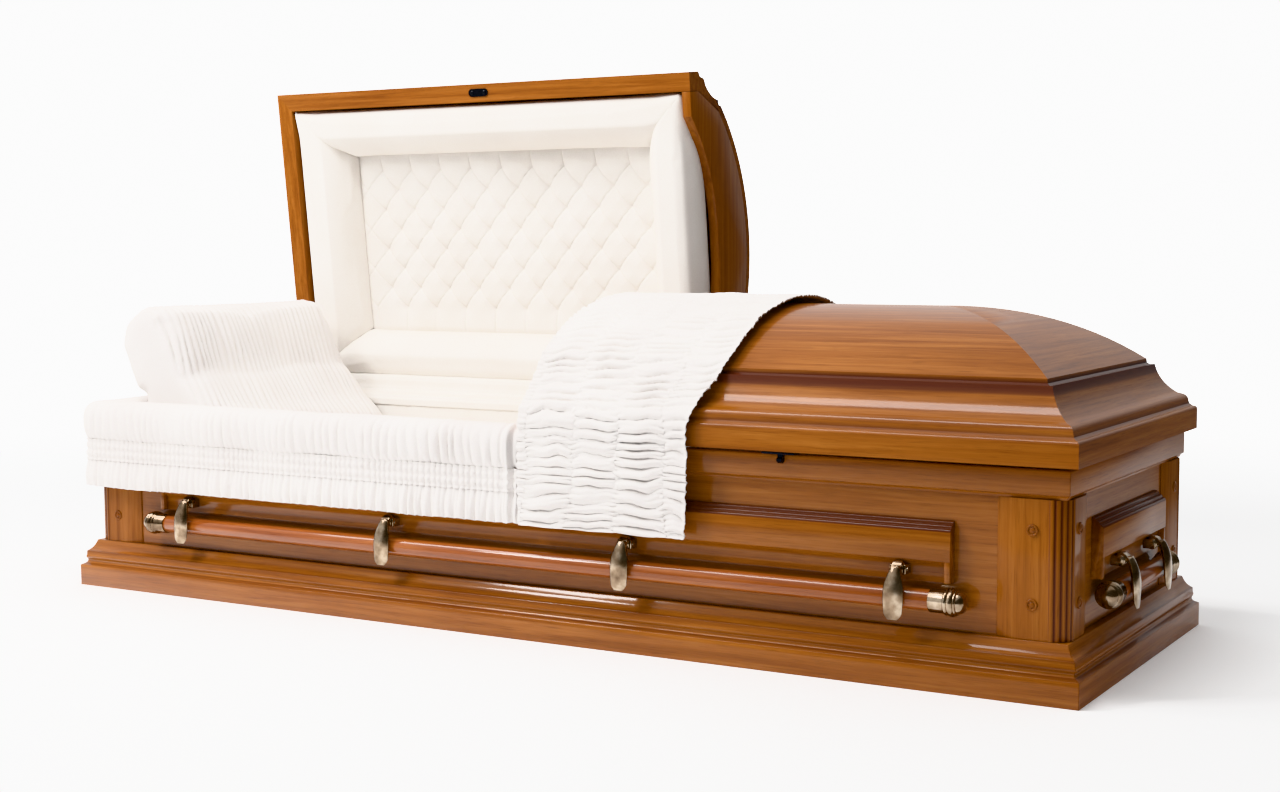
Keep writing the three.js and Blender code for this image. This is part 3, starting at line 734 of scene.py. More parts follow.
def long_hinge(name, start, end):
    """A long strip hinge: one leaf on the rim, screws along it, and knuckles round its pin."""
    bm = bmesh.new()
    front = HALF_WIDTH - RIM["face"] + GAP
    join_box(bm, (start + 0.001, front, HINGE["z"] - HINGE["drop"]),
             (end - 0.001, front + HINGE["leaf"], HINGE["z"]), 0.0003)
    knuckles = int((end - start) / HINGE["pitch"])
    radius = HINGE["radius"]
    for k in range(knuckles):
        middle = start + (k + 0.5) * (end - start) / knuckles
        half = (end - start) / knuckles / 2 - 0.0004
        place = Matrix.Translation((middle, HINGE["y"], HINGE["z"])) @ ALONG_X
        lathe(bm, [(0.0, -half), (radius - 0.0003, -half), (radius, 0.0003 - half), (radius, half - 0.0003),
                   (radius - 0.0003, half), (0.0, half)], place, 16)
        if k % 2:
            head = Matrix.Translation((middle, front + HINGE["leaf"], HINGE["z"] - 0.017))
            lathe(bm, [(0.0, -0.0005), (0.0031, -0.0005), (0.0029, 0.0004), (0.0018, 0.0008), (0.0, 0.0009)],
                  head @ Matrix.Rotation(-math.pi / 2, 4, "X"), 14)
    outward(bm)
    made(f"{name}_strip", bm, [brass], "root", [name], smooth=50)


def strike_plate():
    """The round-ended plate in the head lid's front edge, with two screws."""
    bm = bmesh.new()
    y = STRIKE["inset"] - HALF_WIDTH
    face = STRIKE["low"] + 0.0006
    join_box(bm, (STRIKE["x"] - STRIKE["half"], y - STRIKE["width"] / 2, face),
             (STRIKE["x"] + STRIKE["half"], y + STRIKE["width"] / 2, STRIKE["high"]))
    upright = [e for e in bm.edges if abs(e.verts[0].co.z - e.verts[1].co.z) > 0.001]
    rounded(bm, upright, STRIKE["width"] * 0.49, 8, clamp=False)
    screw = [(0.0, 0.0005), (0.0048, 0.0005), (0.0044, -0.0006), (0.0026, -0.0014), (0.0, -0.0016)]
    for sign in (-1, 1):
        lathe(bm, screw, Matrix.Translation((STRIKE["x"] + sign * 0.0155, y, face)), 20)
    outward(bm)
    to_open(bm)
    made("head_lid_strike_plate", bm, [black], "head_lid", ["head_lid_strike"], smooth=40)


def latch():
    """The lock's plate under the foot lid's edge, and its hook."""
    bm = bmesh.new()
    join_box(bm, (LATCH["x"] - LATCH["half"], LATCH["front"] - HALF_WIDTH, LATCH["low"]),
             (LATCH["x"] + LATCH["half"], LATCH["back"] - HALF_WIDTH, LATCH["high"]), 0.0008)
    root = LATCH["low"] + 0.001
    hook = outline([(0.0245, root), (0.0245, 0.344), (0.020, 0.341, -0.0006), (0.014, 0.344, -0.0006),
                    (0.015, 0.349), (0.0185, 0.351), (0.019, root)], 4)
    draw_out(bm, [(LATCH["x"] - 0.005, inset - HALF_WIDTH, z) for inset, z in hook], (0.010, 0, 0))
    outward(bm)
    made("foot_lid_lock", bm, [black], "foot_lid", ["foot_lid_latch"])


# Cloth

def wander(x, y=0.0, seed=0.0):
    """Smooth noise from about -1 to 1."""
    return noise.noise(Vector((x, y, seed)))


def arc_table(points):
    """Running lengths along a path of points."""
    lengths = [0.0]
    for (a, b), (c, d) in zip(points, points[1:]):
        lengths.append(lengths[-1] + math.hypot(c - a, d - b))
    return lengths


def spot(points, lengths, share):
    """The point at a share of a path's length."""
    aim = min(max(share, 0.0), 1.0) * lengths[-1]
    k = min(max(bisect.bisect_left(lengths, aim), 1), len(points) - 1)
    (u0, v0), (u1, v1) = points[k - 1], points[k]
    t = (aim - lengths[k - 1]) / (lengths[k] - lengths[k - 1] or 1e-9)
    return u0 + (u1 - u0) * t, v0 + (v1 - v0) * t


def along(points, lengths, share, ease=0.02):
    """The point at a share of a path's length, and its unit normal to the left of the way it runs."""
    (u0, v0), (u1, v1) = spot(points, lengths, share - ease), spot(points, lengths, share + ease)
    span = math.hypot(u1 - u0, v1 - v0) or 1e-9
    return spot(points, lengths, share), (-(v1 - v0) / span, (u1 - u0) / span)


def sheet_of(columns, rows, place):
    """A grid whose points are put by place(u, v), with u and v from 0 to 1."""
    bm = bmesh.new()
    bmesh.ops.create_grid(bm, x_segments=columns, y_segments=rows, size=0.5)
    for vert in bm.verts:
        vert.co = place(vert.co.x + 0.5, vert.co.y + 0.5)
    return bm


def thickened(piece, thick):
    """Gives a sheet its thickness, half to each side."""
    wall = piece.modifiers.new("cloth", "SOLIDIFY")
    wall.thickness = thick
    wall.offset = 0.0


# The throw's run in metres: along the front, round the corner a little proud of it, and along the head end
FRONT_RUN = THROW["foot_end"] + HALF_LENGTH - THROW["corner"]
CORNER_RUN = (THROW["corner"] + 0.003) * math.pi / 2
HEAD_RUN = THROW["back_end"] + HALF_WIDTH - THROW["corner"]
THROW_RUN = FRONT_RUN + CORNER_RUN + HEAD_RUN


def round_corner(run, inset, z):
    """The point at a run from the throw's foot end, an inset and a height. Past the corner's centre the inset
    path is a plain mitre."""
    turn = max(THROW["corner"] - inset, 0.0)
    limit = max(THROW["corner"], inset)
    if run <= FRONT_RUN:
        x = THROW["foot_end"] - run / FRONT_RUN * (THROW["foot_end"] + HALF_LENGTH - limit)
        return Vector((x, inset - HALF_WIDTH, z))
    if run <= FRONT_RUN + CORNER_RUN:
        angle = (run - FRONT_RUN) / CORNER_RUN * math.pi / 2
        x = limit - HALF_LENGTH - turn * math.sin(angle)
        return Vector((x, limit - HALF_WIDTH - turn * math.cos(angle), z))
    share = (run - FRONT_RUN - CORNER_RUN) / HEAD_RUN
    y = limit - HALF_WIDTH + share * (THROW["back_end"] + HALF_WIDTH - limit)
    return Vector((inset - HALF_LENGTH, y, z))


def end_tuck(run, total, reach=0.02):
    """1 along a roll and down to 0 at its two ends, where the cloth is tucked in."""
    return min(1.0, math.sqrt(max(min(run, total - run), 0.0) / reach))


def folds(phase, soft=0.6):
    """Rounded ridges with narrow valleys between them, one for each whole step of phase: from 0 to 1."""
    return abs(math.sin(math.pi * phase)) ** soft


def oval(centre, half, bulge, start, stop, steps):
    """Points on a squared oval; half is (across, up, down) and angles run in degrees from its inner side."""
    points = []
    for k in range(steps + 1):
        angle = math.radians(start + (stop - start) * k / steps)
        c, s = math.cos(angle), math.sin(angle)
        across = half[0] * math.copysign(abs(c) ** (2 / bulge), c)
        up = half[1 if s > 0 else 2] * math.copysign(abs(s) ** (2 / bulge), s)
        points.append((centre[0] + across, centre[1] + up))
    return points


throw_over = oval((0.0365, 0.338), (0.0385, 0.0415, 0.050), 2.6, 0, 226, 56)
throw_over_lengths = arc_table(throw_over)
# From fold to fold: the roll's gathers, the band's tight pleats and the ruffle's deep ones
GATHER = 0.0205
PLEAT = 0.0128
RUFFLE = 0.0225


def join_fold(run):
    """The deep upright fold beside the overlay, where the throw's end is tucked away."""
    return (math.exp(-((run - 0.012) / 0.0045) ** 2) + 0.5 * math.exp(-((run - 0.034) / 0.003) ** 2)
            - 0.5 * math.exp(-((run - 0.023) / 0.005) ** 2))


def pull(run):
    """How strongly the cloth is gathered: softly at the head end, more towards the join."""
    return 0.55 + 0.5 * (1 - step_up(run, 0.15, 0.9))


def pleats(run):
    """The tight pleats that the stitches hold: one for each whole step."""
    return run / PLEAT + 0.5 * wander(run * 17, 0, 1.0)


def throw_roll():
    """The puffed fold of the throw over the rim, with soft gathers pulled into the stitched band. Its two
    ends are drawn down towards the rim."""
    flat_inset, flat_z = 0.030, 0.357

    def place(u, v):
        run = u * THROW_RUN
        (inset, z), (nu, nv) = along(throw_over, throw_over_lengths, v, 0.04)
        phase = (run + 0.010 * v) / GATHER + 0.9 * wander(run * 12, v * 0.7, 3.0)
        phase += 0.25 * wander(run * 50, v * 1.5, 9.0)
        reach = 0.45 + 0.22 * wander(run * 24, 0, 14.0)
        face = step_up(v, reach, reach + 0.28)
        strong = max(0.2, 0.8 + 0.9 * wander(run * 15, v * 1.2, 6.0)) * pull(run)
        low = step_up(v, 0.86, 1.0)
        # Deep gathers down the face fade into the tight pleats that the band holds
        puff = 0.0078 * face * strong * (1 - low) * (folds(phase, 0.62) - 0.72)
        puff += 0.0034 * low * (folds(pleats(run), 0.7) - 0.6) - 0.0015 * low
        # The cloth is a little uneven, and drawn in where it meets the overlay
        puff += 0.0008 * (1 - face) * wander(run * 70, v * 5, 2.0) + 0.0024 * wander(run * 8, v * 2.0, 5.0)
        puff -= 0.0075 * join_fold(run) * step_up(v, 0.25, 0.7)
        held = 0.6 + 0.4 * end_tuck(run, THROW_RUN)
        inset = flat_inset + (inset - nu * puff - flat_inset) * held
        z -= nv * puff
        if z > flat_z:
            z = flat_z + (z - flat_z) * held
        return round_corner(run, inset, z)

    bm = sheet_of(1000, 44, place)
    outward(bm)
    piece = made("throw_roll", bm, [crepe], "root", ["extendover"], smooth=0)
    thickened(piece, 0.0012)
    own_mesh(piece)


def throw_band():
    """The smocked band under the roll: tight pleats held in by three rows of stitches."""
    top, low = (0.0072, 0.3035), (0.0066, THROW["band_low"] - 0.004)

    def place(u, v):
        run = u * THROW_RUN
        inset = top[0] + (low[0] - top[0]) * v
        z = top[1] + (low[1] - top[1]) * v
        phase = pleats(run) + 0.12 * wander(run * 60, v * 2.0, 7.0)
        # The three rows of stitches, at shares of the band's height
        rows = sum(math.exp(-((v - row) / 0.09) ** 2) for row in (0.12, 0.50, 0.88))
        strong = max(0.4, 1.0 + 0.6 * wander(run * 23, v * 1.5, 8.0))
        puff = 0.0046 * (folds(phase, 0.75) - 0.5) * strong * (1 - 0.45 * rows) - 0.0020 * rows + 0.0028
        puff -= 0.0065 * join_fold(run)
        return round_corner(run, inset - puff, z + 0.0008 * wander(run * 60, 0, 2.0))

    bm = sheet_of(1500, 20, place)
    outward(bm)
    piece = made("throw_band", bm, [crepe], "root", smooth=0)
    thickened(piece, 0.001)
    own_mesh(piece)


def throw_ruffle(name, start, stop):
    """The ruffle below the band, flaring out in deep soft pleats to its hem."""
    def place(u, v):
        run = start + u * (stop - start)
        # Tight pleats at the top open into deep ones as the ruffle flares
        flare = v ** 0.6
        phase = (run - 0.003 * v) / RUFFLE + 0.9 * wander(run * 13, 0, 2.0)
        phase += 0.3 * v * wander(run * 26, v, 4.0)
        strong = max(0.35, 0.9 + 0.9 * wander(run * 14, v * 0.5, 12.0)) * (0.35 + 0.65 * pull(run))
        puff = 0.0092 * flare * strong * (folds(phase, 0.72) - 0.6)
        puff += 0.0042 * (1 - 0.8 * flare) * (folds(pleats(run), 0.75) - 0.5)
        puff += 0.0010 * flare * wander(run * 70, v * 2.0, 7.0) - 0.0065 * join_fold(run)
        out = 0.0062 * math.sin(min(v * 2.0, 1.75)) - 0.0016 * step_up(v, 0.6, 1.0)
        hem = (0.0050 * wander(run * 7, 0, 8.0) + 0.0030 * (folds(phase, 0.75) - 0.6) * strong) * v
        z = THROW["band_low"] - 0.002 + (THROW["hem"] - THROW["band_low"] + 0.002) * v + hem
        return round_corner(run, 0.0065 - out - puff, z)

    bm = sheet_of(int((stop - start) / 0.0013), 26, place)
    outward(bm)
    piece = made(name, bm, [crepe], "root", smooth=0)
    thickened(piece, 0.0009)
    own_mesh(piece)


overlay_path = outline([
    (OVERLAY["back"], 0.5455), (HALF_WIDTH, LID["crown"] + 0.0052, -0.012), (0.0785, 0.497, -0.0257),
    (0.006, 0.410, 0.004), (0.0025, 0.395, 0.001), (0.0015, 0.330), (0.0015, OVERLAY["hem"] - 0.001)],
    fine=12)
overlay_lengths = arc_table(overlay_path)
# The rows of elastic and the first one's place along X; the level folds and the fine pinches at each row
SHIRR = 0.094
SHIRR_FIRST = 0.058
RUCHE = 0.0185
PINCH = 0.0082


def overlay_place(u, share):
    """The overlay at a share of its drape. Upright rows of elastic, a hand apart, draw the cloth up between
    them into level folds that puff where it is free and pinch at each row."""
    (inset, z), (nu, nv) = along(overlay_path, overlay_lengths, share, 0.008)
    drop = share * overlay_lengths[-1]
    rise = step_up(z, 0.35, 0.56)
    reach = OVERLAY["hem_to"] + (OVERLAY["ridge_to"] - OVERLAY["hem_to"]) * rise
    scallop = 0.0035 * wander(drop * 30, 0, 3.0) + 0.006 * wander(drop * 9, 0, 4.0)
    x = OVERLAY["start"] + (reach + scallop - 0.002 - OVERLAY["start"]) * u
    place_in = (x - SHIRR_FIRST) / SHIRR + 0.20 * wander(drop * 13, x * 4, 21.0)
    cell = math.floor(place_in)
    across = place_in - cell
    free = math.sin(math.pi * across) ** 0.6 * (1 - 0.4 * step_up(u, 0.95, 1.0))
    tilt = 0.010 * (across - 0.5) * (0.4 + wander(cell * 5.3, drop * 7, 16.0))
    bend = 0.013 * wander(x * 13 + cell * 3.0, drop * 7, 11.0)
    bend += 0.004 * wander(x * 34, drop * 16, 17.0) + tilt
    phase = (drop + bend) / RUCHE + 0.37 * cell + 1.2 * wander(cell * 7.7, drop * 19, 13.0)
    strong = max(0.30, 0.85 + 1.15 * wander(x * 9, drop * 17 + cell * 2.3, 14.0))
    strong *= 0.72 + 0.28 * step_up(share, 0.30, 0.66)
    fold = 0.0125 * free * strong * (folds(phase, 0.55) - 0.62)
    small = 0.0028 * (folds(phase * 2.15 + 0.8 * wander(x * 18, drop * 20, 15.0), 0.8) - 0.5)
    small *= 1 - 0.6 * free
    pinch = 0.0042 * (1 - free) * (folds((drop + bend) / PINCH + wander(x * 20, 0, 5.0), 0.7) - 0.4)
    swell = 0.0022 * wander(x * 5, drop * 9, 2.0) - 0.0014 * (1 - free)
    lift = 0.0072 + fold + small + pinch + swell + 0.0015 * step_up(u, 0.97, 1.0)
    return x, inset - nu * lift, z - nv * lift


def overlay_piece(name, first, last, rows):
    """The overlay between two shares of its drape; its hem wanders a little."""
    def place(u, v):
        x, inset, z = overlay_place(u, first + (last - first) * v)
        hem = 0.007 * wander(x * 11, 0, 31.0) * step_up(v, 0.7, 1.0) if last == 1.0 else 0.0
        return Vector((x, inset - HALF_WIDTH, z + hem))

    bm = sheet_of(230, rows, place)
    outward(bm)
    piece = made(name, bm, [crepe], "foot_lid", smooth=0)
    thickened(piece, 0.0016)
    return piece


def overlay():
    """The cloth over the foot lid, and below the lid's edge a flap."""
    split = 1 - (LID["low"] - OVERLAY["hem"]) / overlay_lengths[-1]
    upper = overlay_piece("overlay_upper", 0.0, split, 310)
    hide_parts("foot_lid_overlay")
    flap = overlay_piece("overlay_flap", split, 1.0, 110)
    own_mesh(flap)


# From the body's lining over the rim to the lid's lining, as (Y, height)
hinge_cover_section = outline([
    (0.2812, 0.335), (0.2812, 0.350), (0.2860, 0.3582, -0.002), (0.300, 0.3603, -0.001), (0.318, 0.3612),
    (0.3292, 0.3655, 0.002), (0.3314, 0.374, 0.001), (0.3316, 0.388), (0.3340, 0.3955, -0.001),
    (0.350, 0.400)], 5)


def hinge_cover():
    """Cloth that joins the lid's lining to the body's over the back rail and the hinge."""
    lengths = arc_table(hinge_cover_section)
    start, stop = 0.074 - HALF_LENGTH, 0.036

    def place(u, v):
        (y, z), (ny, nz) = along(hinge_cover_section, lengths, v, 0.05)
        x = start + (stop - start) * u
        puff = 0.0008 * wander(x * 14, v * 2, 6.0) + 0.0004 * wander(x * 60, v * 6, 7.0)
        return Vector((x, y + ny * puff, z + nz * puff))

    bm = sheet_of(260, 40, place)
    outward(bm)
    piece = placed("hinge_cover", bm)
    piece.data.materials.append(velvet)
    piece.data.shade_smooth()
    thickened(piece, 0.001)
    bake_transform(piece)


def ring_point(share, inset, z):
    """A point on a rectangular ring round the case, at a share of the way from the front's head end."""
    x, y = HALF_LENGTH - inset, HALF_WIDTH - inset
    corners = [(-x, -y), (x, -y), (x, y), (-x, y), (-x, -y)]
    return Vector((*spot(corners, arc_table(corners), share), z))


def body_lining():
    """The cloth inside the walls: a padded skirt with a rolled top edge."""
    section = [(LINING["outside"], LINING["low"]), (LINING["outside"], 0.345), (0.063, 0.3505),
               (0.069, LINING["high"]), (0.0745, 0.350), (LINING["inside"] - 0.001, 0.342),
               (LINING["inside"], 0.30), (LINING["inside"], LINING["low"])]

    def place(u, v):
        k = v * (len(section) - 1)
        i = min(int(k), len(section) - 2)
        t = k - i
        inset = section[i][0] + (section[i + 1][0] - section[i][0]) * t
        z = section[i][1] + (section[i + 1][1] - section[i][1]) * t
        if v > 0.6:
            inset -= 0.0012 * wander(u * 260, z * 6, 2.0)
        return ring_point(u, inset, z)

    bm = sheet_of(900, 28, place)
    bmesh.ops.remove_doubles(bm, verts=bm.verts, dist=1e-5)
    bmesh.ops.holes_fill(bm, edges=[e for e in bm.edges if e.is_boundary], sides=0)
    outward(bm)
    piece = made("lining_skirt", bm, [velvet], "root", ["body_lining"], smooth=0)


def apply_all(piece):
    """Replaces a piece's mesh with what its modifiers make of it."""
    bpy.context.view_layer.update()
    evaluated = piece.evaluated_get(bpy.context.evaluated_depsgraph_get())
    result = bpy.data.meshes.new_from_object(evaluated)
    piece.modifiers.clear()
    old = piece.data
    piece.data = result
    bpy.data.meshes.remove(old)


def inflate(piece, voxel, cap, pressure=4.0):
    """Stuffs a closed piece: an even mesh, then air pressure from inside with the cloth simulation. No point
    moves further than cap."""
    frames = 20
    remesh = piece.modifiers.new("even", "REMESH")
    remesh.mode = "VOXEL"
    remesh.voxel_size = voxel
    apply_all(piece)
    start = [v.co.copy() for v in piece.data.vertices]
    modifier = piece.modifiers.new("air", "CLOTH")
    settings = modifier.settings
    settings.use_pressure = True
    settings.uniform_pressure_force = pressure
    settings.effector_weights.gravity = 0.0
    modifier.point_cache.frame_start = 1
    modifier.point_cache.frame_end = frames
    scene = bpy.context.scene
    for number in range(1, frames + 1):
        scene.frame_set(number)
    apply_all(piece)
    scene.frame_set(1)
    for vert, before in zip(piece.data.vertices, start):
        moved = vert.co - before
        if moved.length > cap:
            vert.co = before + moved.normalized() * cap


def mattress():
    """The stuffed mattress, a little inside its solid so that it has room to fill out."""
    inset = MATTRESS["inset"] + 0.006
    bm = bmesh.new()
    join_box(bm, (inset - HALF_LENGTH, inset - HALF_WIDTH, MATTRESS["low"] + 0.002),
             (HALF_LENGTH - inset, HALF_WIDTH - inset, MATTRESS["top"] - 0.008), 0.02, 3)
    piece = placed("mattress_pad", bm)
    inflate(piece, 0.012, 0.007)
    finish_soft(piece, velvet, "root", ["mattress"])


def subdivided(piece, levels):
    """Smooths a piece with finer faces."""
    smooth = piece.modifiers.new("smooth", "SUBSURF")
    smooth.levels = smooth.render_levels = levels


def finish_soft(piece, material, body, nodes, levels=1):
    """Finish, body and hidden solids of a stuffed piece."""
    piece.data.materials.clear()
    piece.data.materials.append(material)
    piece.data.shade_smooth()
    if levels:
        subdivided(piece, levels)
    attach(piece, body)
    if nodes:
        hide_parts(*nodes)


def ripple(piece, measure):
    """Moves each point of a piece along its normal."""
    moves = [vert.normal * measure(vert.co, vert.normal) for vert in piece.data.vertices]
    for vert, move in zip(piece.data.vertices, moves):
        vert.co += move


def pillow():
    """A pillow that leans back on the throw. Its face is shirred down the slope, and a seam crosses it; its
    end is a smooth gusset."""
    head = PILLOW["head"] - HALF_LENGTH
    side = HALF_WIDTH - PILLOW["side"] - 0.006
    inside = 0.006
    shape = outline([(head + x, z) for x, z in (
        (inside, PILLOW["low"] + 0.004), (inside, 0.394), (-0.022, 0.399), (-0.040, 0.441), (-0.062, 0.501),
        (-0.048, 0.548), (0.004, 0.583), (0.043, 0.571), (0.080, 0.512), (0.116, 0.436), (0.186, 0.356),
        (0.260, 0.299), (0.264, PILLOW["low"] + 0.004))], fine=4)
    bm = bmesh.new()
    draw_out(bm, [(x, -side, z) for x, z in shape], (0, 2 * side, 0))
    outward(bm)
    rounded(bm, [e for e in bm.edges if e.calc_face_angle(0) > math.radians(70)], 0.030, 4)
    piece = placed("pillow_cushion", bm)
    inflate(piece, 0.011, 0.012, pressure=7.0)
    subdivided(piece, 2)
    apply_all(piece)

    def gathers(co, normal):
        """How far a point of the pillow stands out: facing is 1 on the face, inward 1 away from its ends."""
        facing = step_up(normal.x * 0.75 + normal.z * 0.66, 0.10, 0.55)
        inward = 1 - step_up(abs(co.y) - side, -0.022, 0.010)
        run = co.y + 0.30 * (co.x - head)
        phase = run / 0.0150 + 0.9 * wander(run * 12, co.z * 4, 1.0) + 0.3 * wander(run * 50, co.z * 12, 2.0)
        seam_at = 0.430 + 0.016 * wander(co.y * 5, 0, 3.0)
        seam = math.exp(-((co.z - seam_at) / 0.009) ** 2)
        strong = max(0.3, 0.8 + 0.9 * wander(co.y * 10, co.z * 13, 4.0))
        fold = (0.0064 - 0.0022 * step_up(co.z, 0.44, 0.52)) * (folds(phase, 0.7) - 0.55) * strong
        edge = 0.005 * math.exp(-((abs(co.y) - side + 0.020) / 0.006) ** 2) * facing
        creases = 0.006 * wander(co.y * 14 + co.z * 6, co.x * 10, 5.0) * (1 - facing)
        return facing * inward * (fold * (1 - 0.3 * seam) - 0.0012 * seam) + creases - edge

    ripple(piece, gathers)
    finish_soft(piece, crepe, "root", ["pillow"], levels=0)
    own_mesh(piece)


# The way out of the lid's inside where it slopes in above its rail: outwards and up
LID_SLOPE = Vector((DOME_FOOT[1] - LID["shoulder"], DOME_FOOT[0] - LID["rail"])).normalized()


def lid_roll(name, points, drawn, mitres):
    """One stuffed roll of the head lid's lining, drawn and stuffed closed and then turned open. Where it
    presses on the lid's rail or skin it is flat."""
    bm = bmesh.new()
    draw_out(bm, points, drawn)
    for point, normal in mitres:
        cut(bm, point, normal)
    outward(bm)
    rounded(bm, [e for e in bm.edges if e.calc_face_angle(0) > math.radians(35)], 0.004, 2)
    piece = placed(name, bm)
    inflate(piece, 0.0075, 0.007)
    limit = HALF_WIDTH - LID["rail"] - 0.0006
    for vert in piece.data.vertices:
        co = vert.co
        co.y = min(max(co.y, -limit), limit)
        co.x = max(co.x, LID["rail"] + 0.0006 - HALF_LENGTH)
        co.z = min(max(co.z, ROLLS["low"] - 0.001), TUFTING["low"] + 0.012)
        over = LID_SLOPE.x * (abs(co.y) - limit) + LID_SLOPE.y * (co.z - LID["shoulder"])
        if over > 0:
            co.y -= math.copysign(LID_SLOPE.x * over, co.y)
            co.z -= LID_SLOPE.y * over
        over = LID_SLOPE.x * (LID["rail"] - HALF_LENGTH - co.x) + LID_SLOPE.y * (co.z - LID["shoulder"])
        if over > 0:
            co.x += LID_SLOPE.x * over
            co.z -= LID_SLOPE.y * over
    turn = Matrix.Translation((0, HINGE["y"], HINGE["z"])) @ Matrix.Rotation(-OPEN_ANGLE, 4, "X")
    piece.data.transform(turn @ Matrix.Translation((0, -HINGE["y"], -HINGE["z"])))
    finish_soft(piece, velvet, "head_lid", [])
    return piece


def lid_rolls():
    """Four rolls round the tufted panel, that lap a little at their mitred corners. The one by the hinge
    starts above its cover."""
    lap = 0.009
    inner = HEAD_LID_END - HEADER["thick"] - HEADER["clearance"] - 0.001
    low, high = ROLLS["low"] + 0.0005, ROLLS["high"] + 0.011
    rail = LID["rail"] + 0.0008

    def section(depth, outer):
        """A roll's section as (inset, height), from the rail to the flare that faces the panel."""
        return outline([(outer, low + 0.004), (outer, 0.392), (0.080, high), (depth + 0.003, high),
                        (depth - 0.019, high - 0.042, 0.005), (depth - ROLLS["flare"], low, 0.005),
                        (outer + 0.010, low - 0.0015, 0.002)], 5)

    head, side, header = ROLLS["head"], ROLLS["side"], ROLLS["header"]
    hole = {"x0": head - HALF_LENGTH, "x1": inner - header, "y": HALF_WIDTH - side}
    rise = HALF_WIDTH - rail - hole["y"]
    head_run, header_run = hole["x0"] + HALF_LENGTH - rail, inner - hole["x1"]
    for sign, name in ((-1, "front"), (1, "back")):
        outer = rail if sign < 0 else ROLLS["hinge_side"]
        points = [(-HALF_LENGTH, sign * (HALF_WIDTH - inset), z) for inset, z in section(side, outer)]
        mitres = [((hole["x0"] - lap, sign * hole["y"], 0), (-rise, -sign * head_run, 0)),
                  ((hole["x1"] + lap, sign * hole["y"], 0), (rise, -sign * header_run, 0)),
                  ((inner, 0, 0), (1, 0, 0))]
        lid_roll(f"lid_roll_{name}", points, (HALF_LENGTH + inner + 0.01, 0, 0), mitres)
    points = [(inset - HALF_LENGTH, -HALF_WIDTH, z) for inset, z in section(head, rail)]
    mitres = [((hole["x0"] + lap, sign * hole["y"], 0), (rise, sign * head_run, 0)) for sign in (-1, 1)]
    lid_roll("lid_roll_head", points, (0, WIDTH, 0), mitres)
    outside = [(inner, low + 0.004), (inner, high), (hole["x1"] - 0.003, high),
               (hole["x1"] + 0.019, high - 0.042, -0.005), (hole["x1"] + ROLLS["flare"], low, -0.005),
               (inner - 0.010, low - 0.0015, -0.002)]
    points = [(x, -HALF_WIDTH, z) for x, z in outline(outside, 5)]
    mitres = [((hole["x1"] - lap, sign * hole["y"], 0), (-rise, sign * header_run, 0)) for sign in (-1, 1)]
    lid_roll("lid_roll_header", points, (0, WIDTH, 0), mitres)
    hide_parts("head_lid_rolls")


# The tufts are staggered: a pitch along a row, and from row to row
TUFTS = {"rows": 8, "columns": 9, "pitch": 0.0826, "row": 0.045, "first_x": 0.056, "first_y": 0.031}


def crease_at(phase, width):
    """1 along a crease at each whole step, and 0 between."""
    return math.exp(-(math.sin(math.pi * phase) / width) ** 2)


def lid_tufting():
    """The tufted panel: padded cloth drawn down at staggered tufts, with faint creases from tuft to tuft."""
    hole_x = ROLLS["head"] - HALF_LENGTH
    hole_y = ROLLS["side"] - HALF_WIDTH
    x0 = hole_x - TUFTING["lap"] + 0.001
    x1 = HEAD_LID_END - HEADER["thick"] - ROLLS["header"] + TUFTING["lap"] - 0.001
    half = -hole_y + TUFTING["lap"] - 0.001
    first_x, first_y = hole_x + TUFTS["first_x"], hole_y + TUFTS["first_y"]
    tufts = [Vector((first_x + (column + 0.5 * (row % 2)) * TUFTS["pitch"], first_y + row * TUFTS["row"]))
             for row in range(TUFTS["rows"]) for column in range(TUFTS["columns"])]
    last_y = first_y + (TUFTS["rows"] - 1) * TUFTS["row"]

    def place(u, v):
        x, y = x0 + (x1 - x0) * u, half * (2 * v - 1)
        column, row = (x - first_x) / TUFTS["pitch"], (y - first_y) / (2 * TUFTS["row"])
        if first_y <= y <= last_y:
            crease = max(crease_at(row + column, 0.13), crease_at(row - column, 0.13))
        else:
            crease = crease_at(column + (0.5 if y > last_y else 0.0), 0.10)
        near = min((Vector((x, y)) - tuft).length for tuft in tufts)
        dip = math.exp(-(near / 0.0060) ** 1.5)
        puff = 1 - math.exp(-(near / 0.024) ** 2)
        margin = min(x - x0, x1 - x, y + half, half - y)
        flat = step_up(margin, 0.0, 0.022)
        depth = 0.0070 - 0.0060 * puff * flat + (0.0062 * dip + 0.0026 * crease * (1 - dip)) * flat
        return Vector((x, y, TUFTING["low"] + depth))

    bm = sheet_of(330, 190, place)
    outward(bm)
    to_open(bm)
    piece = made("lid_tufted_panel", bm, [velvet], "head_lid", ["head_lid_tufting"], smooth=0)
    wall = piece.modifiers.new("wadding", "SOLIDIFY")
    wall.thickness = 0.004
    wall.offset = -1.0


# The whole coffin

def refinished(node, material):
    """Gives a solid that stays in sight its finish."""
    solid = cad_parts[node]
    solid.data.materials.clear()
    solid.data.materials.append(material)


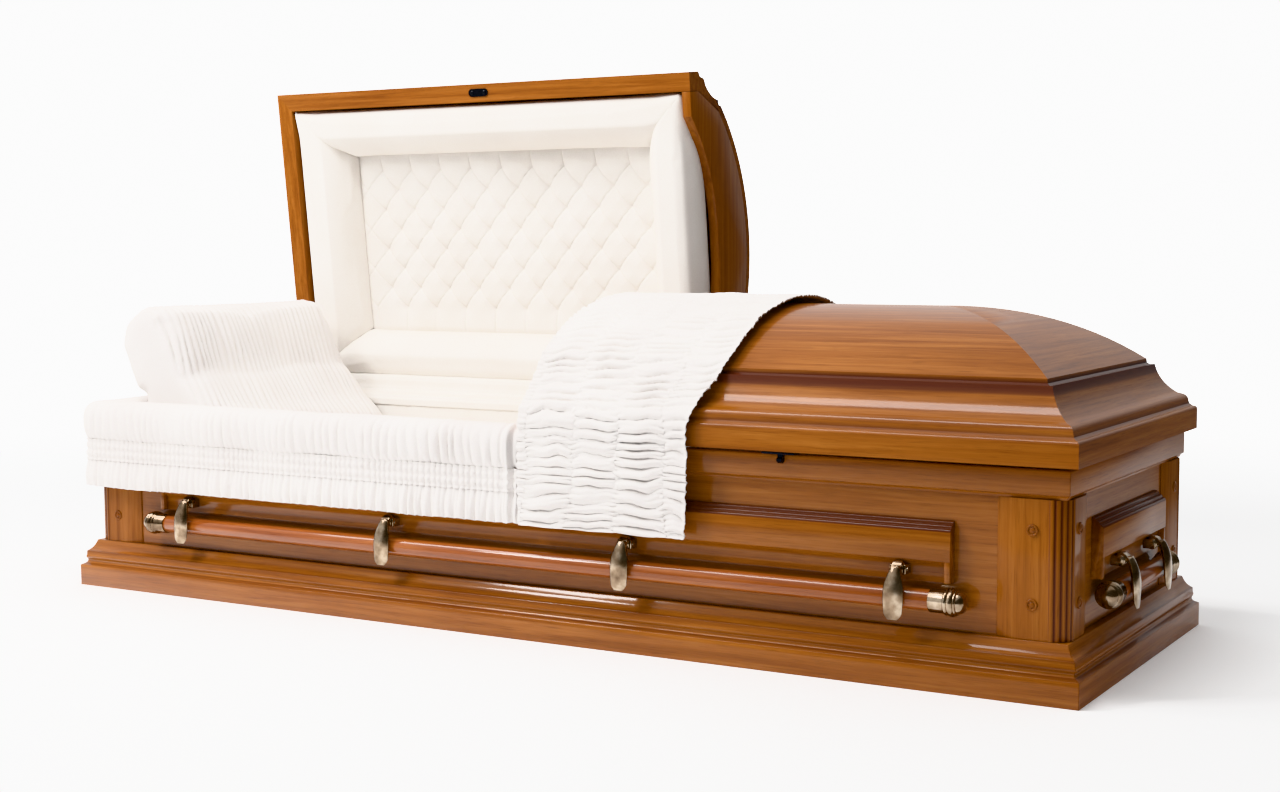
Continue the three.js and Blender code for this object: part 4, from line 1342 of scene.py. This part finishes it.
for side in SIDES:
    bar = LONG_BAR if side["long"] else SHORT_BAR
    plinth(side)
    rim(side)
    raised_panel(side)
    bar_pole(side, bar["tip_end"])
    for number, end in ((1, -1), (2, 1)):
        bar_tip(side, number, end, bar["tip_end"])
    for number, x in enumerate(bar["arms"], 1):
        bar_arm(side, number, x)
    lugs(side, bar["arms"])
    refinished(f"wall_{side['name']}", wood_of(side))
for end_name, sign_x in (("head", -1), ("foot", 1)):
    for face_name, sign_y in (("front", -1), ("back", 1)):
        corner_post(end_name, sign_x, face_name, sign_y)
plugs()
refinished("floor_board", poplar)
for name, end, cut_at in (("head_lid", -1, HEAD_LID_END), ("foot_lid", 1, FOOT_LID_END)):
    lid_cap(name, end, cut_at)
    lid_header(name, end, cut_at)
long_hinge("hinge_head", -0.960, 0.020)
long_hinge("hinge_foot", 0.070, 0.960)
strike_plate()
latch()

throw_roll()
throw_band()
corner_seam = FRONT_RUN + 0.034
throw_ruffle("throw_ruffle_front", 0.0, corner_seam)
throw_ruffle("throw_ruffle_head", corner_seam, THROW_RUN)
overlay()
body_lining()
hinge_cover()
mattress()
pillow()
lid_rolls()
lid_tufting()


# Floor, lights and camera

def stage_floor():
    """A plain pale floor that fades into the backdrop a few metres out, so that no horizon shows."""
    bm = bmesh.new()
    bmesh.ops.create_grid(bm, x_segments=1, y_segments=1, size=30.0)
    floor = placed("floor", bm)
    material, tree = blank("pale studio floor")
    pale = add(tree, "ShaderNodeBsdfPrincipled", values={
        "Base Color": linear("#FAFAFA"), "Roughness": 0.85, "Emission Color": linear("#FFFFFF"),
        "Emission Strength": 0.16})
    place = add(tree, "ShaderNodeTexCoord").outputs["Object"]
    away = add(tree, "ShaderNodeVectorMath", {"operation": "LENGTH"}, links={"Vector": place})
    gone = add(tree, "ShaderNodeMapRange", {"interpolation_type": "SMOOTHSTEP"},
               {"From Min": 1.6, "From Max": 4.2}, {"Value": away.outputs["Value"]})
    fade = add(tree, "ShaderNodeMixShader", links={"Fac": gone.outputs["Result"]})
    tree.links.new(pale.outputs["BSDF"], fade.inputs[1])
    tree.links.new(add(tree, "ShaderNodeBsdfTransparent").outputs["BSDF"], fade.inputs[2])
    add(tree, "ShaderNodeOutputMaterial", links={"Surface": fade.outputs["Shader"]})
    floor.data.materials.append(material)


def soft_light(name, place, aim, size, power):
    """A soft box that faces a point; size is its width along X and its depth."""
    lamp = bpy.data.lights.new(name, "AREA")
    lamp.shape = "RECTANGLE"
    lamp.size, lamp.size_y = size
    lamp.energy = power
    light = bpy.data.objects.new(name, lamp)
    light.location = place
    light.rotation_euler = (Vector(aim) - Vector(place)).to_track_quat("-Z", "Y").to_euler()
    bpy.context.scene.collection.objects.link(light)


CAMERA = {"place": (1.867, -3.03, 0.700), "turn": math.radians(30.53), "down": math.radians(4.752),
          "roll": math.radians(0.225), "lens": 52.096}


def photo_camera():
    """The camera stands where the photograph was taken from, level with the lid."""
    data = bpy.data.cameras.new("camera")
    data.lens = CAMERA["lens"]
    data.sensor_width = 36.0
    data.clip_end = 200.0
    camera = bpy.data.objects.new("camera", data)
    bpy.context.scene.collection.objects.link(camera)
    look = (Matrix.Rotation(CAMERA["turn"], 4, "Z") @ Matrix.Rotation(math.pi / 2 - CAMERA["down"], 4, "X")
            @ Matrix.Rotation(-CAMERA["roll"], 4, "Z"))
    camera.matrix_world = Matrix.Translation(CAMERA["place"]) @ look
    bpy.context.scene.camera = camera


# The side the light comes from, how far it reaches round, its two levels and what the camera sees behind
SKY = {"toward": (-0.75, 0.25, 0.61), "from": -0.10, "to": 0.40, "bright": 0.92, "dim": 0.12, "backdrop": 2.6}


def surroundings():
    """A light tent, brighter overhead and on the left, and dimmer on the right, where nothing lights
    the end."""
    world = bpy.data.worlds.new("light tent")
    world.use_nodes = True
    tree = world.node_tree
    look = add(tree, "ShaderNodeTexCoord").outputs["Generated"]
    facing = add(tree, "ShaderNodeVectorMath", {"operation": "DOT_PRODUCT"})
    tree.links.new(look, facing.inputs[0])
    facing.inputs[1].default_value = SKY["toward"]
    strength = add(tree, "ShaderNodeMapRange", {"interpolation_type": "SMOOTHSTEP"},
                   {"From Min": SKY["from"], "From Max": SKY["to"], "To Min": SKY["dim"],
                    "To Max": SKY["bright"]}, {"Value": facing.outputs["Value"]})
    seen = add(tree, "ShaderNodeLightPath").outputs["Is Camera Ray"]
    level = add(tree, "ShaderNodeMapRange", values={"To Max": SKY["backdrop"]},
                links={"Value": seen, "To Min": strength.outputs["Result"]})
    background = tree.nodes["Background"]
    background.inputs["Color"].default_value = linear("#FFFFFF")
    tree.links.new(level.outputs["Result"], background.inputs["Strength"])
    bpy.context.scene.world = world
    bpy.context.scene.view_settings.view_transform = "Khronos PBR Neutral"


stage_floor()
soft_light("key", (-1.55, -1.90, 2.50), (0.0, 0.0, 0.3), (0.7, 0.7), 58)
soft_light("strip overhead", (-1.2, -0.9, 2.6), (-1.2, -0.2, 0.0), (4.2, 0.7), 92)
surroundings()
photo_camera()
